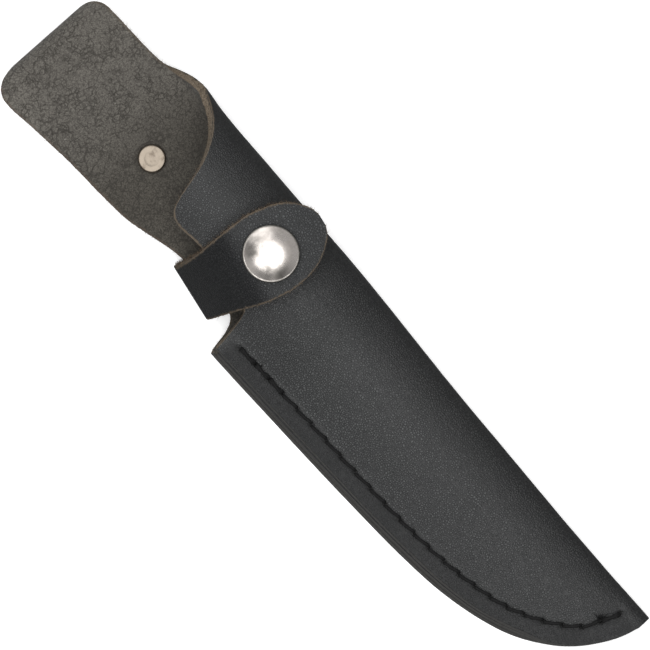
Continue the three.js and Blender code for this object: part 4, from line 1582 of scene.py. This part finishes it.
@dataclass
class KeeperStrap:
    """The strap that is riveted behind the pouch, folds round its open edge and closes over the front."""

    leather: float = 2.2
    fold: tuple[float, float] = (-6.55, -22.6)
    turn: float = -9.4
    radius: float = 3.6
    anchor_length: float = 27.0
    anchor_rivet: float = 19.0
    half_width: float = 8.0
    flap_length: float = 38.8
    under_cap: float = 21.0
    lift_off: float = 120.0  # how far round the fold the flap leaves it, in degrees
    bending: float = 2.0  # how far above and below the fold's middle the leather bends
    columns: int = 26
    ragged: float = 0.06
    edges: list[Edge] = field(default_factory=list)  # the left and the right edge, once it is built
    left: Line = Line((
        (0, -8), (1.4, -7.5), (5, -7.2), (9.5, -7.4), (17.5, -8.5), (22, -9), (25, -8.9), (28.6, -8.2),
        (32, -7.2), (34.8, -5.2), (36.9, -3), (38.2, -0.8), (38.8, 1.6),
    ))
    right: Line = Line((
        (0, 7.8), (4, 9.1), (10, 10.8), (16.4, 12.85), (20, 13.4), (24, 13.6), (29, 12.7), (32, 11.5),
        (34, 10.1), (36.1, 8.2), (37.9, 5.9), (38.8, 3.6),
    ))

    def place(self, across: float | np.ndarray, along: float | np.ndarray) -> tuple[np.ndarray, np.ndarray]:
        """The x and y of a place on the strap.

        Args:
            across: Its distance along the fold line.
            along: Its distance from the fold line.

        Returns:
            The two coordinates.
        """
        angle = math.radians(self.turn)
        x = self.fold[0] + across * math.cos(angle) - along * math.sin(angle)
        return x, self.fold[1] + across * math.sin(angle) + along * math.cos(angle)

    def start(self) -> tuple[float, float]:
        """Where the flap's underside leaves the fold, as its distance from the fold line and its height."""
        angle, inner = math.radians(self.lift_off), self.radius - self.leather
        return self.radius - inner * math.sin(angle), self.radius - inner * math.cos(angle)

    def under(self) -> Line:
        """The flap's underside from the side: off the fold, up over the front panel, level under the stud."""
        top = self.under_cap
        return Line((
            self.start(), (4, 7.1), (6, 10.3), (8, 13.1), (10, 15.5), (12, 17.5), (14, 19.1),
            (16, top - 0.75), (18, top - 0.1), (20.5, top), (24, top), (28, top - 0.05), (33, top - 0.8),
            (self.flap_length, top - 2.7),
        ))

    def side_view(self) -> list[tuple[float, float, float, float, float, float]]:
        """The strap from the side, from its riveted end to the flap's end.

        Returns:
            For each row: its distance from the fold, the height of the inner face, the way out of the leather
            as two numbers, and the left and right edges.
        """
        rows = []
        straight = self.anchor_length - self.half_width
        for a in np.linspace(0.1, math.pi / 2, 16, endpoint=False):
            half = self.half_width * math.sin(a)
            rows.append((straight + self.half_width * math.cos(a), self.leather, 0, -1, -half, half))
        for along in steps(straight, self.radius, 0.9):
            rows.append((along, self.leather, 0, -1, -self.half_width, self.half_width))
        inner, lift_off, first = self.radius - self.leather, math.radians(self.lift_off), self.start()[0]
        for a in np.linspace(0, lift_off, 24, endpoint=False):
            out = (-math.sin(a), -math.cos(a))
            share = smoothstep(a, math.pi / 2, lift_off)
            left = -self.half_width + share * (self.half_width + self.left(first))
            right = self.half_width + share * (self.right(first) - self.half_width)
            rows.append((self.radius + inner * out[0], self.radius + inner * out[1], *out, left, right))
        under = self.under()
        ends = np.append(steps(36, self.flap_length, 0.16), self.flap_length)
        for along in [*steps(first, 36, 0.55), *ends]:
            before, after = max(along - 0.05, first), along + 0.05
            out = unit(np.array([under(before) - under(after), after - before]))
            rows.append((along, under(along), *out, self.left(along), self.right(along)))
        return rows

    def build(self) -> bpy.types.Object:
        """Makes the strap as one piece, from its riveted end round the fold to the flap's end.

        Returns:
            The finished piece.
        """
        rows = np.array(self.side_view(), float)
        along, z, out_along, out_z, left, right = (rows[:, k:k + 1] for k in range(6))
        share = np.linspace(0, 1, self.columns)[None, :]
        across = left + (right - left) * share
        middle = (left + right) / 2
        droop = 0.9 * smoothstep(along, 14, 22) * smoothstep(z, 4, 12)
        sag = droop * ((across - middle) / 11) ** 2
        faces = []
        for depth in (self.leather, 0.0):
            x, y = self.place(across, along + out_along * depth)
            height = z + out_z * depth - sag
            faces.append(np.stack([x, y, np.broadcast_to(height, x.shape)], axis=-1))
        grain, flesh = faces
        normal = unit(flesh - grain)
        uneven = 0.07 * rough(grain, 9.0, 2.0) + 0.03 * rough(grain, 3.5, 6.0)
        uneven = uneven * smoothstep(z, 3.0, 9.0)
        dip = 0.28 * bump(np.hypot(grain[..., 0], grain[..., 1]), 7.2) * (z > 12)
        for face in (grain, flesh):
            face += normal * (uneven + dip)[..., None]
        for column, inside in ((0, 1), (-1, -2)):
            out = outward(grain, normal, column, inside)
            distance = np.abs(across - across[:, [column]])
            jag = rough(grain[:, column], 0.9, 11.0) + 0.6 * rough(grain[:, column], 0.35, 13.0)
            on_left = column == 0
            near_fold = (1 - smoothstep(along[:, 0], 2, 11)) * smoothstep(z[:, 0], 3.2, 5)
            slant = 0.08 * (1 - smoothstep(along[:, 0], 24, 34)) + 0.7 * near_fold * on_left
            ragged = self.ragged * (2.2 if on_left else 1.0)
            shift(flesh, out, slant + ragged * jag * 1.5, distance, 2.5)
            shift(grain, out, ragged * jag, distance, 0.7)
            self.edges.append((grain[:, column].copy(), flesh[:, column].copy(), out))
        worn = 0.9 * bump(np.minimum(across - left, right - across), 0.8)
        fuzz = smoothstep(across, left + 1.2, left + 0.1) * smoothstep(z, 5, 9)
        marks = {
            "wear": np.maximum(worn, fuzz),
            # On the strap the flange mark lies on the slope up from the fold, where it paints shade by
            # dimming the crowns.
            "flange": smoothstep(z, 3, 6) * (1 - smoothstep(along, 13, 19)),
            # Painted sheen of light on the strap's level top under the cap.
            "painted_sheen": smoothstep(along, 15, 20) * smoothstep(z, 12, 16),
        }
        marks = {name: np.broadcast_to(mark, across.shape) for name, mark in marks.items()}
        bm = Sheet(grain, flesh, marks, soften=0.2).build(lambda place: Side.CUT)
        piece = settle(finished("keeper_strap", bm, STRAP_SIDES), Slot.STRAP, ["strap_anchor", "strap_flap"])
        return self.across_joint(piece)

    def across_joint(self, piece: bpy.types.Object) -> bpy.types.Object:
        """Bakes the transform of a piece of the strap into its mesh; the piece rides on neither body.

        Args:
            piece: The piece.

        Returns:
            The piece.
        """
        x, y, _ = metres(np.array([*self.fold, 0.0]))
        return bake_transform(piece)


# ---- Loose fibres ----------------------------------------------------------------------------------------


@dataclass
class EdgeFibres:
    """Loose fibres that stand out of the raw edges."""

    seed: int = 7
    thickness: float = 0.07
    on_strap: tuple[float, float] = (24.0, 3.0)  # fibres for each millimetre of its left and right edge

    def along(
        self, edge: Edge, keep: Callable[[np.ndarray], float], density: float
    ) -> list[bmesh.types.BMesh]:
        """Fibres along one edge.

        Args:
            edge: The edge.
            keep: Says for a place how many of the fibres there are kept, from 0 to 1.
            density: Fibres for each millimetre.

        Returns:
            One bmesh for each fibre.
        """
        rng = random.Random(self.seed)
        grain, flesh, out = edge
        fibres = []
        for i in range(len(grain) - 1):
            span = float(np.linalg.norm(grain[i + 1] - grain[i]))
            wanted = span * density * keep(grain[i])
            for _ in range(int(wanted) + (rng.random() < wanted % 1)):
                share, depth = rng.random(), rng.uniform(0.15, 1.0)
                top = grain[i] + (grain[i + 1] - grain[i]) * share
                bottom = flesh[i] + (flesh[i + 1] - flesh[i]) * share
                start = top + (bottom - top) * depth - out[i] * 0.1
                run = unit(grain[i + 1] - grain[i])
                lean = unit(out[i] + run * rng.uniform(-1, 1) + (top - bottom) * rng.uniform(-0.3, 0.3))
                curl = run * rng.uniform(-0.6, 0.6) + (top - bottom) * rng.uniform(-0.2, 0.25)
                reach = 0.2 + 0.95 * rng.random() ** 2.2
                t = np.linspace(0, 1, 4)[:, None]
                path = start + lean * reach * t + curl * reach * t**2
                path[:, 2] = np.maximum(path[:, 2], 0.05)
                fibres.append(hair(path, self.thickness * rng.uniform(0.5, 1)))
        return fibres

    def build(self, pouch: Pouch, strap: KeeperStrap) -> list[bpy.types.Object]:
        """Makes the fibres of the pouch's and the strap's edges.

        Args:
            pouch: The built pouch.
            strap: The built strap.

        Returns:
            The two finished pieces.
        """
        def at_mouth(place: np.ndarray) -> float:
            """Most fibres stand round the mouth's hump and beside the strap."""
            return float(0.25 + 0.75 * smoothstep(place[0], -62, -50)) if place[0] < 9 else 0.0

        def at_tab(place: np.ndarray) -> float:
            """A few fibres on the tab's long edges."""
            return 0.25 if place[0] < 8.6 else 0.0

        mouth = self.along(pouch.mouth, at_mouth, 5.0) + self.along(pouch.hem, at_tab, 4.0)
        on_pouch = finished("pouch_edge_fibres", join(mouth), [FIBRE])
        made = [settle(on_pouch, Slot.SHEATH, body=Body.SHEATH)]
        fibres = []
        for edge, density in zip(strap.edges, self.on_strap):
            fibres += self.along(edge, lambda place: 1.0, density)
        on_strap = finished("strap_edge_fibres", join(fibres), [FIBRE])
        made.append(strap.across_joint(settle(on_strap, Slot.STRAP)))
        return made


# ---- Metal fittings --------------------------------------------------------------------------------------


def arc(centre: tuple[float, float], radius: float, first: float, last: float, count: int) -> Outline:
    """Points on a round corner of a half section.

    Args:
        centre: Its centre, as distance from the axis and height.
        radius: Its radius.
        first: The angle at which it starts, in degrees from straight out.
        last: The angle at which it ends.
        count: How many points to give.

    Returns:
        The points.
    """
    angles = np.radians(np.linspace(first, last, count))
    return [(centre[0] + radius * math.cos(a), centre[1] + radius * math.sin(a)) for a in angles]


@dataclass
class Turned:
    """A piece turned about an upright axis."""

    x: float
    y: float
    segments: int = 80

    def build(
        self, name: str, outline: Outline, finish: Finish, z: float = 0.0, closed: bool = False
    ) -> bpy.types.Object:
        """Spins a half section into a closed piece.

        Args:
            name: The piece's name.
            outline: The half section, as distances from the axis and heights.
            finish: Its finish.
            z: How much higher the piece stands.
            closed: Whether the half section is a ring that doesn't meet the axis.

        Returns:
            The finished object, not yet riding on a body.
        """
        bm = bmesh.new()
        verts = [bm.verts.new((self.x + radius, self.y, z + height)) for radius, height in outline]
        pairs = list(zip(verts, verts[1:])) + ([(verts[-1], verts[0])] if closed else [])
        edges = [bm.edges.new(pair) for pair in pairs]
        bmesh.ops.spin(
            bm, geom=verts + edges, cent=(self.x, self.y, 0), axis=(0, 0, 1), angle=2 * math.pi,
            steps=self.segments, use_merge=True, use_normal_flip=False, use_duplicate=False,
        )
        bmesh.ops.remove_doubles(bm, verts=bm.verts, dist=1e-4)
        bmesh.ops.recalc_face_normals(bm, faces=bm.faces)
        return finished(name, bm, [finish], crease=38)


@dataclass
class PressStud:
    """The press stud: cap, socket and spring on the strap, stud and eyelet on the front panel."""

    face: float = 17.1  # height of the front panel's outer face under the stud
    leather: float = 2.2
    stand: float = 3.9
    gap: float = 0.3
    cap_radius: float = 7.5
    post: float = 1.9
    # Places and sizes of the dark reflections painted on the cap's dome.
    spots: tuple[tuple[float, float, float], ...] = (  # places and sizes
        (-4.4, -2.2, 3.0), (-3.4, -3.3, 2.2), (2.9, -4.3, 2.6), (6.2, -1.0, 3.2),
    )
    # The next number paints shade over the cap's rolled rim, so that its bright reflection is dimmed.
    rim_painted_shade: float = 2.2  # over 1, so that the dull rim has no bright patches
    rim_radii: tuple[float, float] = (6.95, 7.35)

    def build(self) -> list[bpy.types.Object]:
        """Makes the stud's five pieces.

        Returns:
            The finished pieces.
        """
        turned = Turned(0.0, 0.0, 96)
        parts = (
            ("snap_cap", self.cap(), False, Body.STRAP), ("snap_socket", self.socket(), True, Body.STRAP),
            ("snap_stud", self.stud(), True, Body.SHEATH), ("snap_eyelet", self.eyelet(), True, Body.SHEATH),
        )
        made = []
        for node, outline, closed, body in parts:
            piece = turned.build(node + "_turned", outline, SNAP_NICKEL, self.face, closed)
            if node == "snap_cap":
                self.painted_dark_reflection(piece)
            made.append(settle(piece, Slot.SNAP, [node], body))
        made.append(self.spring())
        return made

    def painted_dark_reflection(self, piece: bpy.types.Object) -> None:
        """Marks the dark reflections painted on the cap's dome and the shade painted over its rim.

        Args:
            piece: The cap.
        """
        values = np.zeros(len(piece.data.vertices))
        places = (np.array([v.co for v in piece.data.vertices]) - ORIGIN) / MM
        for x, y, size in self.spots:
            values = np.maximum(values, bump(np.hypot(places[:, 0] - x, places[:, 1] - y), size))
        rim = smoothstep(np.hypot(places[:, 0], places[:, 1]), *self.rim_radii)
        values = np.maximum(values, self.rim_painted_shade * rim)
        piece.data.attributes.new("painted_dark_reflection", "FLOAT", "POINT").data.foreach_set("value", values)

    def cap(self) -> Outline:
        """A domed cap with a rolled rim and a hollow post."""
        strap_face = self.stand + self.leather
        rim = strap_face + 0.05
        dome = Line(((0, 3.12), (1.6, 3.04), (3.4, 2.66), (5.2, 1.92), (6.5, 1.14), (7.15, 0.72)))
        over = [(r, rim + float(dome(r))) for r in np.linspace(7.1, 0, 26)]
        return [
            (0, strap_face), (1.1, strap_face), (1.1, 2.9), (self.post, 2.9), (self.post, rim), (6.9, rim),
            *arc((self.cap_radius - 0.38, rim + 0.38), 0.38, -80, 70, 9), *over,
        ]

    def socket(self) -> Outline:
        """A ring under the strap, cupped below so that it closes over the stud."""
        top = self.stand - 0.05
        return [
            (2.3, 2.7), (4.1, 2.7), *arc((4.5, 2.2), 0.5, 90, 0, 5),
            (5, 0.9), *arc((5.6, 1.0), 0.3, 200, 320, 5), (6.2, 1.1),
            (6.2, top - 0.5), *arc((5.8, top - 0.4), 0.4, 0, 90, 6), (2.3, top),
        ]

    def stud(self) -> Outline:
        """A flange on the leather and a hollow button."""
        low = 0.02
        return [
            (2.3, low), (5, low), *arc((5.0, low + 0.25), 0.25, -80, 80, 6), (4.6, 0.85),
            (3.5, 0.95), (3.3, 1.3), *arc((3.4, 1.98), 0.42, -50, 90, 8), (2.5, 2.38), (2.3, 2.3),
        ]

    def eyelet(self) -> Outline:
        """A flange inside the sheath and a tube up into the stud."""
        low = -self.leather - self.gap - 0.9
        return [
            (1.4, low - 0.5), (4.6, low - 0.5), *arc((4.6, low - 0.25), 0.25, -90, 90, 7), (self.post, low),
            (self.post, 2.1), (1.4, 2.1),
        ]

    def spring(self) -> bpy.types.Object:
        """A split wire ring inside the socket.

        Returns:
            The finished piece.
        """
        angles = np.radians(np.linspace(0, 312, 90))
        ring = 4.45 * np.column_stack([np.cos(angles), np.sin(angles)])
        path = np.column_stack([ring, np.full(len(ring), self.face + 1.6)])
        wire = 0.25 * polygon(10)
        piece = finished("snap_spring_wire", swept(path, lambda i: wire), [SPRING_WIRE])
        return settle(piece, Slot.SPRING, ["snap_spring"], Body.STRAP)


@dataclass
class Rivet:
    """A two-part rivet: a ringed cap with a pin, and a post with a flat head."""

    name: str
    x: float
    y: float
    seat: float
    head: float = 3.75
    socket: float = 2.0
    pin: float = 1.35

    def build(self) -> list[bpy.types.Object]:
        """Makes the rivet's two halves.

        Returns:
            The finished pieces.
        """
        turned = Turned(self.x, self.y, 72)
        made = []
        for half, outline in (("cap", self.cap()), ("post", self.base())):
            node = f"{self.name}_{half}"
            piece = turned.build(node + "_turned", outline, RIVET_NICKEL)
            made.append(settle(piece, Slot.RIVET, [node], Body.SHEATH))
        return made

    def cap(self) -> Outline:
        """The ringed head on the leather and the pin below it."""
        z = self.seat
        crown = Line((
            (0, 0.80), (1.4, 0.80), (1.75, 0.85), (2.1, 0.93), (2.6, 0.95), (3.1, 0.93), (3.4, 0.86),
            (3.55, 0.70),
        ))
        over = [(r, z + float(crown(r))) for r in np.linspace(3.48, 0, 30)]
        rim = arc((self.head - 0.3, z + 0.3), 0.3, -80, 60, 7)
        return [(0, 0.9), (self.pin, 0.9), (self.pin, z), (3.4, z), *rim, *over]

    def base(self) -> Outline:
        """The flat head sunk in the leather below and the tube up round the pin."""
        bore = self.pin + 0.3
        return [
            (0, 0.06), (3.3, 0.06), *arc((3.4, 0.35), 0.3, -80, 60, 6), (self.socket, 0.7),
            (self.socket, self.seat - 0.3), (bore, self.seat - 0.3), (bore, 0.55), (0, 0.55),
        ]


# ---- The studio ------------------------------------------------------------------------------------------


@dataclass
class Studio:
    """A pale table, soft light and a camera straight above."""

    lens: float = 600.0
    sensor: float = 36.0
    view_width: float = 169.3
    aim: tuple[float, float] = (23.08, -1.72)
    right: tuple[float, float] = (0.6613, 0.7501)  # the level direction that points right in the view
    surround: float = 0.31

    def build(self) -> None:
        """Sets up the whole studio."""
        self.camera()
        self.lights()
        self.table()
        bpy.context.scene.view_settings.view_transform = "Standard"

    def camera(self) -> None:
        """Puts a long lens straight above the sheath, turned so that the sheath lies slantwise."""
        data = bpy.data.cameras.new("camera")
        data.lens, data.sensor_width = self.lens, self.sensor
        distance = self.view_width * self.lens / self.sensor
        data.clip_start, data.clip_end = 0.1, 20
        camera = bpy.data.objects.new("camera", data)
        x, y, z = metres(np.array([*self.aim, distance + 8.0]))
        side = Vector((*self.right, 0)).normalized()
        up = Vector((0, 0, 1)).cross(side)
        turn = Matrix((side, up, Vector((0, 0, 1)))).transposed().to_4x4()
        camera.matrix_world = Matrix.Translation((x, y, z)) @ turn
        bpy.context.scene.collection.objects.link(camera)
        bpy.context.scene.camera = camera

    def lights(self) -> None:
        """A broad soft light overhead, a weaker one beyond the belt loop and an even pale surround."""
        world = bpy.data.worlds.new("surround")
        bpy.context.scene.world = world
        world.use_nodes = True
        background = world.node_tree.nodes["Background"].inputs
        background["Color"].default_value = (1, 1, 1, 1)
        background["Strength"].default_value = self.surround
        self.area("overhead", (0.02, -0.17, 1.1), 1.75, 16.5)
        self.area("side", (-1.0, 0.2, 0.62), 1.2, 3.6)

    def area(self, name: str, place: tuple[float, float, float], size: float, power: float) -> None:
        """A round soft light that faces the sheath.

        Args:
            name: Its name.
            place: Where it stands, in metres.
            size: Its diameter, in metres.
            power: Its power, in watts.
        """
        data = bpy.data.lights.new(name, "AREA")
        data.shape, data.size, data.energy = "DISK", size, power
        lamp = bpy.data.objects.new(name, data)
        lamp.location = place
        lamp.rotation_euler = (-Vector(place)).to_track_quat("-Z", "Y").to_euler()
        bpy.context.scene.collection.objects.link(lamp)

    def table(self) -> None:
        """The pale floor, a hair below the sheath."""
        bm = bmesh.new()
        bmesh.ops.create_grid(bm, x_segments=1, y_segments=1, size=4.0)
        mesh = bpy.data.meshes.new("table")
        bm.to_mesh(mesh)
        bm.free()
        mesh.materials.append(PaleFloor("pale_floor").material())
        floor = bpy.data.objects.new("table", mesh)
        floor.location = (0, 0, -0.0002)
        bpy.context.scene.collection.objects.link(floor)


def main() -> None:
    """Builds the studio and every piece, and writes down how big the finished model is."""
    logging.basicConfig(level=logging.INFO, format="%(message)s")
    Studio().build()
    seam = Seam(PATTERN)
    pouch = Pouch(PATTERN, seam.holes())
    pouch.build()
    Welt(PATTERN).build()
    seam.build()
    strap = KeeperStrap()
    strap.build()
    EdgeFibres().build(pouch, strap)
    PressStud().build()
    seat = 2 * PATTERN.leather + PATTERN.gap + 0.05  # just over the two layers that a rivet holds
    Rivet("belt_rivet", *PATTERN.rivet, seat - pouch.pocket_depth).build()
    anchor_x, anchor_y = strap.place(0.0, strap.anchor_rivet)
    Rivet("strap_rivet", float(anchor_x), float(anchor_y), seat).build()


if __name__ == "__main__":
    main()
